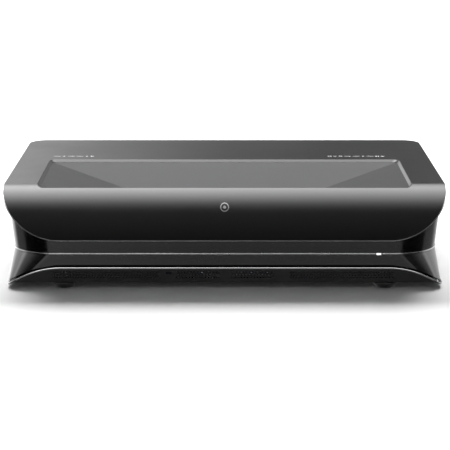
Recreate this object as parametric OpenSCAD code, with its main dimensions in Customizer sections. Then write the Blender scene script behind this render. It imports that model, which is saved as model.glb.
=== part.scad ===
// Ultra-short-throw laser home projector, in millimetres, +Z up.
// X runs left to right, the front looks along -Y and the picture is thrown to +Y.
// The origin is the middle of the footprint, on the table top.

/* [Overall] */
// Width of the top cover
body_w = 600; // [590:1:640]
// Depth from the nose of the front roll to the rear edge of the deck
body_d = 348; // [344:1:370]
// Height of the deck above the table
body_h = 145; // [143:1:152]
// Height of the bottom tray above the table
foot_gap = 8; // [8:0.5:9]
// Wall thickness of the moulded covers
wall = 3; // [2.6:0.1:3.2]

/* [Top cover] */
// How far the deck's front edge lies behind the nose
roll_depth = 27; // [25:1:30]
// Height of the roll, from the nose to the deck
roll_height = 38; // [36:1:40]
// Radius of the undercut below the nose
undercut_r = 100; // [90:5:140]
// Height of the front lip above the table
lip_z = 70; // [68:1:72]
// Width of the rising curve at each end of the lip
lip_sweep = 78; // [70:1:84]
// Height of the deck's side edge
deck_edge_h = 8; // [7:0.5:10]
// Plan radius of the two rear corners
rear_r = 25; // [20:1:30]
// Thickness of the trim along the lip
trim_t = 1.6; // [1.4:0.1:2]

/* [Light well] */
// Width of the well at the deck
well_w = 510; // [480:1:515]
// Setback of the well's front edge from the nose
well_front = 18.5; // [18.5:0.5:20]
// Setback of the well's rear edge from the nose
well_rear = 191; // [180:1:195]
// Slope of the ramp that the light passes over
ramp_angle = 10; // [9:0.5:10]
// Half the width of the ramp at its lowest edge
ramp_front_half = 80; // [78:1:90]
// Width of the sealed exit window
window_w = 140; // [120:1:142]
// Length of the exit window along the ramp
window_l = 38; // [34:1:38]

/* [Bands] */
// Height of the middle of the silver waist strip
waist_z = 49; // [48:0.5:50]
// Height of the waist strip
strip_h = 2.2; // [1.8:0.1:2.6]
// How far the waist lies inside the deck's side
waist_inset = 5.5; // [5:0.5:6]
// Setback of the waist from the nose
waist_back = 15.5; // [15:0.5:17]
// Plan radius of the front corners at the waist
waist_r = 60; // [50:1:64]
// Height of the bright rim at the front
rim_z = 30; // [29:0.5:31]
// Height of the bright rim's section
rim_t = 2.5; // [2:0.1:3]
// Setback of the bright rim from the nose
rim_back = 9.5; // [9:0.5:10]
// Half width over which the rim runs level
rim_flat_half = 225; // [215:1:230]

/* [Grilles] */
// Diameter of the speaker perforations
perf_d = 2.2; // [1.8:0.1:2.4]
// Pitch of the speaker perforations
perf_pitch = 4.4; // [4.2:0.1:5]
// Width of the side vent slots
vent_slot_w = 3; // [2.5:0.1:3.4]
// Pitch of the side vent slots
vent_pitch = 7; // [6.6:0.1:8]

/* [Optics] */
// Height of the projection lens axis
axis_z = 62; // [61:0.5:63]
// Outer radius of the lens barrel
barrel_r = 32; // [31:0.5:32]
// Outer radius of the moving focus cell
cell_r = 26; // [25:0.5:26]

/* [Fans and feet] */
// Side length of each fan frame
fan_size = 80; // [70:1:80]
// Thickness of each fan frame
fan_depth = 25; // [20:1:25]
// Radius of the foot pad at the table
pad_bottom_r = 12; // [11:0.5:14]
// Radius of the foot pad at its top
pad_top_r = 17.5; // [16:0.5:18]
// Radius of the foot's threaded stud
stud_r = 4; // [3.5:0.1:4]

/* [Hidden] */

$fn = 64;
hull_fn = 32;
front = -body_d / 2;
rear = body_d / 2;
half_w = body_w / 2;
eps = 0.5;
fit_gap = 0.3;

// Round nose of the top cover, as two arcs that share the nose line
roll_r = (roll_depth * roll_depth + roll_height * roll_height) / (2 * roll_depth);
nose_z = body_h - roll_height;
side_lip_z = body_h - deck_edge_h;
lip_centre_z = body_h - 5;
lip_flat_half = half_w - lip_sweep;
deck_front = front + roll_depth;
nose_steps = 18;
sweep_steps = 20;

// Light well, as three planes that meet under the deck
well_side_chamfer = 4;
well_rear_chamfer = 1.2;
well_r = 8;
well_half = well_w / 2 - well_side_chamfer;
well_y0 = front + well_front;
well_y1 = front + well_rear - well_rear_chamfer;
floor_top_z = body_h - wall - 0.2;
tray_t = 2.6;
flange_t = 2.5;
flange_w = 8;
ramp_low_y = front + 38;
ramp_low_z = floor_top_z - (well_y1 - ramp_low_y) * tan(ramp_angle);
side_angle = atan((floor_top_z - ramp_low_z) / (well_half - ramp_front_half));
well_wall_y = front + 20;
window_mid_y = front + 60;
window_mid_z = floor_top_z - (well_y1 - window_mid_y) * tan(ramp_angle);
gasket_w = 3;
glass_t = 2.4;

// Core walls below the top cover
band_side_inset = 1;
band_back = 12;
band_full_z = 97;
band_top_z = side_lip_z - trim_t - fit_gap;
skirt_z = foot_gap;
skirt_back = 11;
skirt_r = 14;
core_rear = rear - 2;
core_rear_r = rear_r - 2;
panel_y0 = front + 80;
panel_y1 = rear - 25;
strip_proud = 0.8;
strip_depth = 1.6;
rim_low_z = foot_gap - rim_t / 2;
rim_sweep = half_w - 3 - rim_flat_half;
rim_r = 16;
rim_w = 5;
groove_h = 2.6;
chin_top_back = 13.5;
chin_low_back = 18.5;
chin_t = 2.4;

// Feet
foot_x = 221;
foot_y = front + 30;
rear_foot_y = rear - 40;
pad_h = foot_gap - 1;
stud_top_z = 28;
run_gap = 0.05;

// Screw bosses that hang from the deck
boss_r = 4.5;
screw_r = 1.5;
boss_end_z = 24;
corner_boss = [265, rear - 17];
front_boss = [266, front + 66];
middle_boss = [70, rear - 14];
boss_places = [for (s = [-1, 1], p = [corner_boss, front_boss, middle_boss]) [s * p[0], p[1]]];

// Ceiling mount
mount_x = 300;
mount_y = 170;
mount_mid_y = 0;
mount_bore_r = 1.65;
insert_r = 3.5;
insert_h = 7;

// Rear sockets, at the right of the rear panel
port_plate_y = rear - 8;
port_plate_t = 1.6;
port_z0 = 31;
port_z1 = 61;
port_x0 = 118;
port_x1 = 240;
board_z = 38;
board_t = 1.6;
port_floor_z = board_z + board_t;
inlet_x = -215;
inlet_z = 36;

// Optical engine
imager_y = 92;
relay_y = 73;
ring_y = -8;
ring_w = 9;
tooth_module = 1;
ring_teeth = 80;
pinion_teeth = 16;
pinion_x = tooth_module * (ring_teeth + pinion_teeth) / 2;
wheel_x = -124;
wheel_z = axis_z + 20;

// Fans, with their axes along X
fan_x = 270.5;
fan_z = foot_gap + wall + fan_size / 2;
left_front_fan_y = 20;
left_rear_fan_y = 104;
right_fan_y = 60;

// Speakers
speaker_x = 147;
speaker_w = 118;
speaker_z0 = foot_gap + wall;
speaker_h = 50;
speaker_d = 50;
speaker_y0 = front + 28.5;
driver_r = 20;
driver_z = 36;

// Rounded plan outline; the two front corners and the two rear corners each share a radius.
module plan_outline(half, y0, y1, r0, r1) {
    mid = (y0 + y1) / 2;
    translate([-half, y0 + r0]) square([2 * half, y1 - y0 - r0 - r1]);
    translate([r0 - half, y0]) square([2 * (half - r0), mid - y0]);
    translate([r1 - half, mid]) square([2 * (half - r1), y1 - mid]);
    for (s = [-1, 1]) {
        if (r0 > 0) translate([s * (half - r0), y0 + r0]) circle(r = r0);
        if (r1 > 0) translate([s * (half - r1), y1 - r1]) circle(r = r1);
    }
}

module plan_slab(z0, z1, half, y0, y1, r0, r1) {
    translate([0, 0, z0]) linear_extrude(z1 - z0) plan_outline(half, y0, y1, r0, r1);
}

// A YZ outline carried along X, and an XZ outline carried along Y.
module along_x(half) {
    translate([-half, 0, 0]) rotate([90, 0, 90]) linear_extrude(2 * half) children();
}

module along_y(y0, y1) {
    translate([0, y1, 0]) rotate([90, 0, 0]) linear_extrude(y1 - y0) children();
}

module block(x0, x1, y0, y1, z0, z1) {
    translate([x0, y0, z0]) cube([x1 - x0, y1 - y0, z1 - z0]);
}

// Points of the nose at a depth t inside the outer skin, from height z0 up to height z1.
function nose_points(t, z0, z1) = let (
        low_r = undercut_r - t,
        high_r = roll_r - t,
        low_a = asin((nose_z - z0) / low_r),
        high_a = asin((z1 - nose_z) / high_r))
    concat(
        [for (i = [0 : nose_steps]) let (a = low_a * (1 - i / nose_steps))
            [front + undercut_r - low_r * cos(a), nose_z - low_r * sin(a)]],
        [for (i = [1 : nose_steps]) let (a = high_a * i / nose_steps)
            [front + roll_r - high_r * cos(a), nose_z + high_r * sin(a)]]);

// Everything behind a skin that lies t inside the outer one.
module behind_nose(t, z0, z1) {
    polygon(concat(nose_points(t, z0, z1), [[rear, z1], [rear, z0]]));
}

// Height of the lip curve at x, for a curve moved outwards by t.
function lip_height(x, t) = let (u = max(0, abs(x) - lip_flat_half) / (lip_sweep + t))
    lip_centre_z - (lip_centre_z - lip_z + t) * sqrt(1 - min(1, u * u));

module above_lip(t) {
    x_end = half_w + 1;
    sweep = [for (i = [0 : sweep_steps]) lip_flat_half + (lip_sweep + t) * sin(90 * i / sweep_steps)];
    inner = [for (x = sweep) if (x < half_w) [x, min(side_lip_z, lip_height(x, t))]];
    edge = [[half_w, min(side_lip_z - t, lip_height(half_w, t))], [x_end, side_lip_z - t]];
    right = concat(inner, edge);
    left = [for (i = [len(right) - 1 : -1 : 0]) [-right[i][0], right[i][1]]];
    polygon(concat(left, right, [[x_end, body_h + 1], [-x_end, body_h + 1]]));
}

// Height of the bright rim's middle at x.
function rim_height(x) = let (u = max(0, abs(x) - rim_flat_half) / rim_sweep)
    max(rim_low_z, rim_z - (rim_z - rim_low_z) * u * u);

module rim_curve(low, high) {
    xs = concat([-half_w - 1], [for (i = [-sweep_steps : 0]) -rim_flat_half + rim_sweep * i / sweep_steps],
        [for (i = [0 : sweep_steps]) rim_flat_half + rim_sweep * i / sweep_steps], [half_w + 1]);
    n = len(xs) - 1;
    polygon(concat([for (x = xs) [x, rim_height(x) + high]],
        [for (i = [n : -1 : 0]) [xs[i], low < -half_w ? low : rim_height(xs[i]) + low]]));
}

// The top cover before its lip is cut, with its walls drawn down by t.
module cover_blank(t) {
    z_low = side_lip_z - t;
    difference() {
        plan_slab(z_low, body_h, half_w, deck_front, rear, 0, rear_r);
        plan_slab(z_low - 1, body_h - wall, half_w - wall, deck_front - 1, rear - wall, 0, rear_r - wall);
    }
    intersection() {
        union() {
            along_x(half_w) difference() {
                polygon(concat(nose_points(0, lip_z - t, body_h), [[deck_front + 8, body_h],
                    [deck_front + 8, body_h - wall - 6], [front + 60, lip_z - t]]));
                polygon(concat(nose_points(wall, lip_z - t - 2, body_h - wall),
                    [[front + 70, body_h - wall], [front + 70, lip_z - t - 2]]));
            }
            for (s = [-1, 1]) {
                translate([s * (half_w - wall / 2), 0, 0]) along_x(wall / 2) intersection() {
                    polygon(concat(nose_points(0, lip_z - t, body_h),
                        [[deck_front + 1, body_h], [deck_front + 1, z_low], [front + 1, z_low - 30]]));
                    translate([front, z_low]) square([roll_depth + 1, deck_edge_h + t]);
                }
            }
        }
        along_y(front - 1, deck_front + 10) above_lip(t);
    }
}

// Half-spaces above the ramp and above each side of the well.
module above_ramp(drop) {
    translate([0, well_y1, floor_top_z - drop]) rotate([ramp_angle, 0, 0])
        translate([-half_w, -body_d, 0]) cube([body_w, 2 * body_d, body_h]);
}

module above_side(s, drop) {
    translate([s * well_half, 0, floor_top_z - drop]) rotate([0, -s * side_angle, 0])
        translate([-body_w, -body_d, 0]) cube([2 * body_w, 2 * body_d, body_h]);
}

module above_floor(drop) {
    intersection() {
        above_ramp(drop);
        above_side(-1, drop);
        above_side(1, drop);
    }
}

module on_ramp(lift) {
    translate([0, window_mid_y, window_mid_z]) rotate([ramp_angle, 0, 0])
        translate([0, 0, lift]) children();
}

module rounded_rect(w, l, r) {
    for (sx = [-1, 1], sy = [-1, 1]) translate([sx * (w / 2 - r), sy * (l / 2 - r)]) circle(r = r);
    square([w, l - 2 * r], center = true);
    square([w - 2 * r, l], center = true);
}

module upper_shell() {
    color([0.16, 0.16, 0.17]) {
        difference() {
            cover_blank(0);
            hull() {
                $fn = hull_fn;
                plan_slab(body_h - wall - eps, body_h - wall, well_half, well_y0, well_y1, well_r, well_r);
                plan_slab(body_h, body_h + 0.1, well_w / 2, well_y0 - eps,
                    front + well_rear, well_r + 2, well_r + 2);
            }
            plan_slab(nose_z + 10, body_h - wall, well_half, well_y0, well_y1, well_r, well_r);
            translate([button_x, button_y, body_h - 2 * wall])
                cylinder(r = button_r + button_gap, h = 3 * wall);
        }
        for (p = boss_places) translate([p[0], p[1], boss_end_z]) difference() {
            cylinder(r = boss_r, h = body_h - wall - boss_end_z + 0.2);
            translate([0, 0, -1]) cylinder(r = screw_r, h = 15);
        }
        for (dx = [-9, 2]) translate([button_x + dx, button_y + 18, key_board_top])
            cylinder(r = 2.5, h = body_h - wall - key_board_top + 0.2);
    }
}

module light_well() {
    color([0.30, 0.30, 0.31]) difference() {
        intersection() {
            union() {
                intersection() {
                    plan_slab(60, body_h - wall, well_half + tray_t,
                        well_wall_y, well_y1 + tray_t, well_r, well_r);
                    above_floor(tray_t + 0.4);
                }
                plan_slab(body_h - wall - flange_t, body_h - wall, well_half + flange_w,
                    front + 45, well_y1 + flange_w, 0, well_r);
            }
            along_x(half_w) behind_nose(wall + fit_gap, lip_z, body_h - wall);
        }
        intersection() {
            plan_slab(60, body_h, well_half, well_wall_y + tray_t, well_y1, well_r, well_r);
            above_floor(0);
        }
        on_ramp(-10) linear_extrude(20)
            rounded_rect(window_w + 2 * gasket_w, window_l + 2 * gasket_w, 6 + gasket_w);
        for (s = [-1, 1]) translate([s * sensor_x, sensor_y, ramp_low_z - 10])
            cylinder(r = sensor_r, h = 30);
    }
}

module window_gasket() {
    color([0.05, 0.05, 0.05]) on_ramp(-tray_t) difference() {
        linear_extrude(tray_t + 0.4)
            rounded_rect(window_w + 2 * gasket_w, window_l + 2 * gasket_w, 6 + gasket_w);
        translate([0, 0, -1]) linear_extrude(tray_t + 3) rounded_rect(window_w, window_l, 6);
    }
}

module exit_window() {
    color([0.10, 0.12, 0.14]) on_ramp(-glass_t) linear_extrude(glass_t) rounded_rect(window_w, window_l, 6);
}

sensor_x = 96;
sensor_y = front + 46;
sensor_r = 3;
sensor_floor_z = floor_top_z - (well_half - sensor_x - sensor_r) * tan(side_angle);

module eye_sensors() {
    color([0.04, 0.04, 0.04]) for (s = [-1, 1]) translate([s * sensor_x, sensor_y, sensor_floor_z - 8])
        cylinder(r = sensor_r, h = 8);
}

module upper_trim() {
    color([0.45, 0.45, 0.46]) difference() {
        cover_blank(trim_t);
        along_y(front - 1, deck_front + 10) above_lip(0);
        block(-half_w, half_w, deck_front - 1, rear, side_lip_z, body_h + 1);
    }
}

// The core that the bands, side grilles and rear panel are cut from, inset by t.
module core_level(z0, z1, inset, back, r, t) {
    plan_slab(z0, z1, half_w - inset - t, front + back + t, core_rear - t, r - t, core_rear_r - t);
}

module core_solid(t) {
    $fn = hull_fn;
    hull() {
        core_level(waist_z, waist_z + 1, waist_inset, waist_back, waist_r, t);
        core_level(band_full_z, band_full_z + 0.1, band_side_inset, band_back, waist_r, t);
    }
    core_level(band_full_z, band_top_z + 5, band_side_inset, band_back, waist_r, t);
    hull() {
        core_level(waist_z - 1, waist_z, waist_inset, waist_back, waist_r, t);
        core_level(skirt_z - 3, skirt_z - 2.9, band_side_inset, skirt_back, skirt_r, t);
    }
}

module core_wall() {
    difference() {
        core_solid(0);
        core_solid(wall);
    }
}

module strip_ring(out, into, grow) {
    difference() {
        core_level(waist_z - strip_h / 2 - grow, waist_z + strip_h / 2 + grow,
            waist_inset, waist_back, waist_r, -out);
        core_level(waist_z - strip_h, waist_z + strip_h, waist_inset, waist_back, waist_r, into);
    }
}

module front_upper_band() {
    color([0.03, 0.03, 0.03]) intersection() {
        core_wall();
        block(-half_w, half_w, front, panel_y0, waist_z + strip_h / 2, band_top_z);
        union() {
            along_x(half_w) behind_nose(wall + fit_gap, lip_z, body_h - wall);
            block(-half_w, half_w, front, panel_y0, 0, lip_z);
        }
    }
}

module front_lower_band() {
    color([0.03, 0.03, 0.03]) intersection() {
        core_wall();
        block(-half_w, half_w, front, panel_y0, 0, waist_z - strip_h / 2);
        along_y(front, panel_y0) rim_curve(rim_t / 2 + groove_h, body_h);
    }
}

light_x = 211;
light_w = 6;

module waist_strip() {
    color([0.75, 0.75, 0.76]) difference() {
        strip_ring(strip_proud, strip_depth, 0);
        block(-half_w, half_w, panel_y1, rear, 0, body_h);
        block(light_x - light_w / 2, light_x + light_w / 2, front, front + 30, 0, body_h);
    }
}

module status_light() {
    color([0.95, 0.97, 1.0]) block(light_x - light_w / 2, light_x + light_w / 2,
        front + waist_back - strip_proud, front + waist_back + strip_depth,
        waist_z - strip_h / 2, waist_z + strip_h / 2);
}

module lower_rim() {
    color([0.80, 0.80, 0.81]) intersection() {
        difference() {
            plan_slab(0, body_h / 2, half_w, front + rim_back, panel_y1, rim_r, 0);
            plan_slab(-1, body_h, half_w - rim_w, front + rim_back + rim_w, panel_y1 + 1, rim_r - rim_w, 0);
        }
        difference() {
            along_y(front, rear) rim_curve(-rim_t / 2, rim_t / 2);
            block(-half_w, half_w, panel_y0, rear, foot_gap, body_h);
        }
    }
}

perf_zones = [[-236, -90], [-66, -8], [10, 68], [90, 232]];
perf_rows = 3;
perf_z = 19;

module chin_grille() {
    color([0.10, 0.10, 0.10]) difference() {
        intersection() {
            along_x(half_w - 8) polygon([[front + chin_top_back, rim_z], [front + chin_low_back, foot_gap],
                [front + 24, foot_gap], [front + 24, foot_gap + chin_t],
                [front + chin_low_back + chin_t, foot_gap + chin_t],
                    [front + chin_top_back + chin_t, rim_z]]);
            along_y(front, front + 40) rim_curve(-body_w, -rim_t / 2 - 0.2);
        }
        for (row = [0 : perf_rows - 1], zone = perf_zones) {
            stagger = (row % 2) * perf_pitch / 2;
            for (x = [zone[0] + stagger : perf_pitch : zone[1]])
                translate([x, front + 30, perf_z + (row - 1) * perf_pitch * 0.87]) rotate([90, 0, 0])
                    cylinder(d = perf_d, h = 30, $fn = 16);
        }
        block(remote_x - remote_w / 2, remote_x + remote_w / 2, front, front + 40,
            remote_z - remote_h / 2, remote_z + remote_h / 2);
    }
}

remote_x = -77;
remote_z = 22;
remote_w = 8;
remote_h = 3;

module remote_window() {
    color([0.01, 0.01, 0.02]) intersection() {
        block(remote_x - remote_w / 2, remote_x + remote_w / 2, front, front + 40,
            remote_z - remote_h / 2, remote_z + remote_h / 2);
        along_x(half_w) polygon([[front + chin_top_back, rim_z], [front + chin_low_back, foot_gap],
            [front + chin_low_back + chin_t, foot_gap], [front + chin_top_back + chin_t, rim_z]]);
    }
}

tray_half = half_w - 8;
tray_front = front + 24.2;
tray_rear = core_rear - wall - 0.2;
tray_vents = [[-200, -60], [-40, 40], [80, 220]];
rib_h = 12;
rib_t = 2.5;
foot_boss_r = 6.7;
board_posts = [[92, 18], [226, 18], [92, 142], [226, 142]];

// Wall behind the bands that closes the groove above the rim, open where the speakers sound.
module inner_front_wall() {
    difference() {
        plan_slab(foot_gap, inner_wall_z, inner_wall_half, front + inner_wall_back, panel_y1,
            inner_wall_r, 18);
        plan_slab(0, body_h, inner_wall_half - inner_wall_t, front + inner_wall_back + inner_wall_t,
            panel_y1, inner_wall_r - inner_wall_t, 16);
        block(-half_w, half_w, panel_y0, rear, 0, body_h);
        for (zone = perf_zones) block(zone[0], zone[1], front, front + 40, foot_gap + wall, rim_z - 2);
    }
}

inner_wall_z = 46;
inner_wall_half = half_w - 12;
inner_wall_back = 24.2;
inner_wall_r = 52;
inner_wall_t = 2;

module bottom_tray() {
    color([0.08, 0.08, 0.08]) difference() {
        union() {
            plan_slab(foot_gap, foot_gap + wall, tray_half, tray_front, tray_rear, 20, 18);
            difference() {
                plan_slab(foot_gap, foot_gap + rib_h, tray_half, tray_front, tray_rear, 20, 18);
                plan_slab(0, body_h, tray_half - rib_t, tray_front + rib_t, tray_rear - rib_t, 17.5, 15.5);
                block(-half_w, half_w, front, panel_y0, 0, body_h);
            }
            inner_front_wall();
            for (p = boss_places) translate([p[0], p[1], foot_gap])
                cylinder(r = boss_r, h = boss_end_z - foot_gap);
            for (s = [-1, 1]) translate([s * foot_x, foot_y + 1, foot_gap]) cylinder(r = foot_boss_r, h = 10);
            for (sx = [-1, 1], sy = [-1, 1])
                translate([sx * mount_x / 2, mount_mid_y + sy * mount_y / 2, foot_gap])
                    cylinder(r = 6, h = insert_h);
            for (p = board_posts) translate([p[0], p[1], foot_gap]) cylinder(r = 4, h = board_z - foot_gap);
        }
        for (p = boss_places) translate([p[0], p[1], 0]) {
            cylinder(r = screw_r + 0.2, h = boss_end_z + 1);
            cylinder(r = 3.2, h = boss_end_z - 8);
        }
        for (s = [-1, 1]) translate([s * foot_x, foot_y, 0]) cylinder(r = stud_r + run_gap, h = 30);
        for (sx = [-1, 1], sy = [-1, 1])
            translate([sx * mount_x / 2, mount_mid_y + sy * mount_y / 2, 0])
                cylinder(r = insert_r, h = foot_gap + insert_h + 1);
        for (zone = tray_vents, x = [zone[0] : 10 : zone[1]])
            block(x, x + 4, 35, 75, 0, foot_gap + wall + 1);
    }
}

// Vertical slots through a side wall, s = -1 for the left and 1 for the right.
module vent_slots(s) {
    for (y = [panel_y0 + 12 : vent_pitch : panel_y1 - 14], z = [[20, 44], [54, 88], [94, 128]])
        block(min(s * (half_w - 20), s * (half_w + 5)), max(s * (half_w - 20), s * (half_w + 5)),
            y, y + vent_slot_w, z[0], z[1]);
}

module side_grille(s) {
    color([0.07, 0.07, 0.07]) difference() {
        intersection() {
            core_wall();
            block(min(0, s * half_w), max(0, s * half_w),
                panel_y0 + 0.2, panel_y1 - 0.2, foot_gap, band_top_z);
        }
        strip_ring(strip_proud, strip_depth, 0);
        vent_slots(s);
    }
}

module left_side_grille() {
    side_grille(-1);
}

module right_side_grille() {
    side_grille(1);
}

module rear_panel() {
    color([0.07, 0.07, 0.07]) difference() {
        intersection() {
            core_wall();
            block(-half_w, half_w, panel_y1, rear, foot_gap, band_top_z);
        }
        block(port_x0, port_x1, core_rear - 30, rear, port_z0, port_z1);
        block(inlet_x - 16, inlet_x + 16, core_rear - 30, rear, inlet_z - 13, inlet_z + 13);
        for (x = [-160 : vent_pitch : 80]) block(x, x + vent_slot_w, core_rear - 30, rear, 84, 120);
    }
}

// Places of the rear sockets along the port plate, from left to right.
hdmi_x = [227, 208, 189];
usb_x = [171, 155];
lan_x = 138.2;
optical_x = 124.5;
hdmi_w = 15.2;
hdmi_h = 6.2;
usb_w = 13.2;
usb_h = 6.2;
lan_w = 16;
lan_h = 13.6;
audio_x = 124.5;
audio_z = 54;
jack_bore_r = 1.75;

module port_plate() {
    color([0.05, 0.05, 0.05]) difference() {
        block(port_x0, port_x1, port_plate_y, port_plate_y + port_plate_t, port_z0, port_z1);
        for (x = hdmi_x) socket_space(x, hdmi_w, hdmi_h);
        for (x = usb_x) socket_space(x, usb_w, usb_h);
        socket_space(lan_x, lan_w, lan_h);
        socket_space(optical_x, 9.6, 9.6);
        translate([audio_x, port_plate_y + 5, audio_z]) rotate([90, 0, 0]) cylinder(r = 3.6, h = 10);
    }
}

module socket_space(x, w, h) {
    block(x - w / 2 - 0.2, x + w / 2 + 0.2, port_plate_y - 5, rear,
        port_floor_z - 0.2, port_floor_z + h + 0.2);
}

// A socket as a metal or plastic shell that opens to the rear.
module socket_shell(x, w, h, l, rim) {
    difference() {
        block(x - w / 2, x + w / 2, port_plate_y + port_plate_t - l, port_plate_y + port_plate_t,
            port_floor_z, port_floor_z + h);
        block(x - w / 2 + rim, x + w / 2 - rim, port_plate_y + port_plate_t - l + 2, rear,
            port_floor_z + rim, port_floor_z + h - rim);
    }
}

module hdmi_sockets() {
    color([0.70, 0.70, 0.72]) for (x = hdmi_x) {
        socket_shell(x, hdmi_w, hdmi_h, 12, 0.6);
        block(x - 5, x + 5, port_plate_y - 9, port_plate_y - 0.5, port_floor_z + 2.7, port_floor_z + 3.6);
    }
}

module usb_sockets() {
    color([0.70, 0.70, 0.72]) for (x = usb_x) {
        socket_shell(x, usb_w, usb_h, 14, 0.5);
        block(x - 5.2, x + 5.2, port_plate_y - 11, port_plate_y - 0.5,
            port_floor_z + 3.4, port_floor_z + 5.2);
    }
}

module lan_socket() {
    color([0.70, 0.70, 0.72]) socket_shell(lan_x, lan_w, lan_h, 21, 2);
}

module optical_socket() {
    color([0.06, 0.06, 0.06]) socket_shell(optical_x, 9.6, 9.6, 12, 1.4);
}

module audio_jack() {
    color([0.06, 0.06, 0.06]) difference() {
        union() {
            translate([audio_x, port_plate_y + port_plate_t, audio_z]) rotate([90, 0, 0])
                cylinder(r = 3.4, h = port_plate_t + 1);
            block(audio_x - 4.5, audio_x + 4.5, port_plate_y - 13, port_plate_y, audio_z - 4, audio_z + 4);
        }
        translate([audio_x, rear, audio_z]) rotate([90, 0, 0])
            cylinder(r = jack_bore_r, h = rear - port_plate_y + 11);
    }
}

inlet_w = 15;
inlet_h = 9;

module mains_inlet() {
    color([0.04, 0.04, 0.04]) {
        difference() {
            union() {
                block(inlet_x - 15.8, inlet_x + 15.8, core_rear - 5, core_rear - 1.5,
                    inlet_z - 12.8, inlet_z + 12.8);
                block(inlet_x - 11, inlet_x + 11, core_rear - 24, core_rear - 4, inlet_z - 8, inlet_z + 8);
            }
            for (s = [-1, 1]) translate([inlet_x + s * (inlet_w - inlet_h) / 2, core_rear, inlet_z])
                rotate([90, 0, 0]) cylinder(r = inlet_h / 2, h = 14);
            block(inlet_x - (inlet_w - inlet_h) / 2, inlet_x + (inlet_w - inlet_h) / 2,
                core_rear - 14, core_rear, inlet_z - inlet_h / 2, inlet_z + inlet_h / 2);
        }
        for (s = [-1, 1]) translate([inlet_x + s * 4.3, core_rear - 5, inlet_z])
            rotate([90, 0, 0]) cylinder(r = 1.2, h = 9.5);
    }
}

emblem_z = 118;
emblem_r = 6;
emblem_proud = 0.2;
emblem_film = 0.02;

module front_emblem() {
    color([0.70, 0.70, 0.72]) difference() {
        intersection() {
            along_y(front - 1, front + 10) {
                difference() {
                    translate([0, emblem_z]) circle(r = emblem_r);
                    translate([0, emblem_z]) circle(r = emblem_r - 1.3);
                }
                translate([0, emblem_z]) circle(r = 2.1);
            }
            along_x(20) behind_nose(-emblem_proud, nose_z - 5, emblem_z + 12);
        }
        along_x(21) behind_nose(-emblem_film, nose_z - 6, emblem_z + 13);
    }
}

button_x = 273;
button_y = front + 36;
button_r = 5.5;
button_gap = 0.4;

module power_button() {
    color([0.20, 0.20, 0.21]) translate([button_x, button_y, 0]) {
        translate([0, 0, body_h - wall - 0.8]) cylinder(r = button_r, h = wall + 0.8);
        translate([0, 0, body_h - wall - 2]) cylinder(r = button_r + 1.5, h = 1.4);
        translate([0, 0, body_h - 12]) cylinder(r = 2, h = 11);
    }
}

key_board_top = body_h - 17.4;

module key_board() {
    color([0.05, 0.30, 0.14]) {
        block(button_x - 13, button_x + 6, button_y - 3.5, button_y + 22, key_board_top - 1.6, key_board_top);
        block(button_x - 3, button_x + 3, button_y - 3, button_y + 3, body_h - 17.5, body_h - 14);
        translate([button_x, button_y, body_h - 14.1]) cylinder(r = 1.5, h = 1);
    }
}

module foot_stud(s) {
    color([0.60, 0.60, 0.62]) translate([s * foot_x, foot_y, pad_h - 4])
        cylinder(r = stud_r, h = stud_top_z - pad_h + 4);
}

module foot_pad(s) {
    color([0.05, 0.05, 0.05]) translate([s * foot_x, foot_y, 0]) difference() {
        cylinder(r1 = pad_bottom_r, r2 = pad_top_r, h = pad_h);
        translate([0, 0, pad_h - 4]) cylinder(r = stud_r + run_gap, h = 5);
        for (i = [0 : 23]) rotate([0, 0, i * 15]) translate([pad_top_r + 0.6, 0, pad_h - 3])
            cylinder(r = 1.2, h = 4, $fn = 16);
    }
}

module front_left_stud() {
    foot_stud(-1);
}

module front_right_stud() {
    foot_stud(1);
}

module front_left_pad() {
    foot_pad(-1);
}

module front_right_pad() {
    foot_pad(1);
}

module rear_feet() {
    color([0.05, 0.05, 0.05]) for (s = [-1, 1]) translate([s * foot_x, rear_foot_y, 0])
        cylinder(r1 = pad_bottom_r, r2 = pad_top_r, h = foot_gap);
}

module mount_inserts() {
    color([0.72, 0.60, 0.30]) for (sx = [-1, 1], sy = [-1, 1])
        translate([sx * mount_x / 2, mount_mid_y + sy * mount_y / 2, foot_gap]) difference() {
            cylinder(r = insert_r, h = insert_h);
            translate([0, 0, -1]) cylinder(r = mount_bore_r, h = insert_h + 2);
        }
}

module case_screws() {
    color([0.55, 0.55, 0.57]) for (p = boss_places) translate([p[0], p[1], 0]) {
        translate([0, 0, boss_end_z - 10]) cylinder(r = 2.8, h = 2);
        translate([0, 0, boss_end_z - 9]) cylinder(r = screw_r, h = 21);
    }
}

module mainboard() {
    color([0.05, 0.28, 0.14]) difference() {
        union() {
            block(84, 242, 10, 160, board_z, port_floor_z);
            block(100, 140, 60, 100, port_floor_z, port_floor_z + 2.5);
            for (i = [0 : 3]) block(155 + i * 17, 168 + i * 17, 60, 72, port_floor_z, port_floor_z + 1.4);
            for (i = [0 : 4]) translate([95 + i * 14, 28, port_floor_z]) cylinder(r = 4, h = 9);
            block(180, 228, 24, 30, port_floor_z, port_floor_z + 6);
        }
        for (p = board_posts) translate([p[0], p[1], board_z - 1]) cylinder(r = screw_r, h = 5);
    }
}

module processor_heat_sink() {
    color([0.66, 0.67, 0.69]) {
        block(98, 142, 58, 102, port_floor_z + 2.5, port_floor_z + 6);
        for (i = [0 : 10])
            block(98 + i * 4.25, 99.5 + i * 4.25, 58, 102, port_floor_z + 5.5, port_floor_z + 22);
    }
}

module power_supply() {
    color([0.10, 0.32, 0.16]) {
        block(-242, -92, 106, 144, foot_gap + wall, foot_gap + wall + 6);
        block(-232, -200, 110, 140, foot_gap + wall + 5, 46);
        block(-190, -168, 110, 140, foot_gap + wall + 5, 50);
        for (i = [0 : 2]) translate([-152 + i * 20, 125, foot_gap + wall + 5]) cylinder(r = 8.5, h = 34);
    }
}

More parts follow.
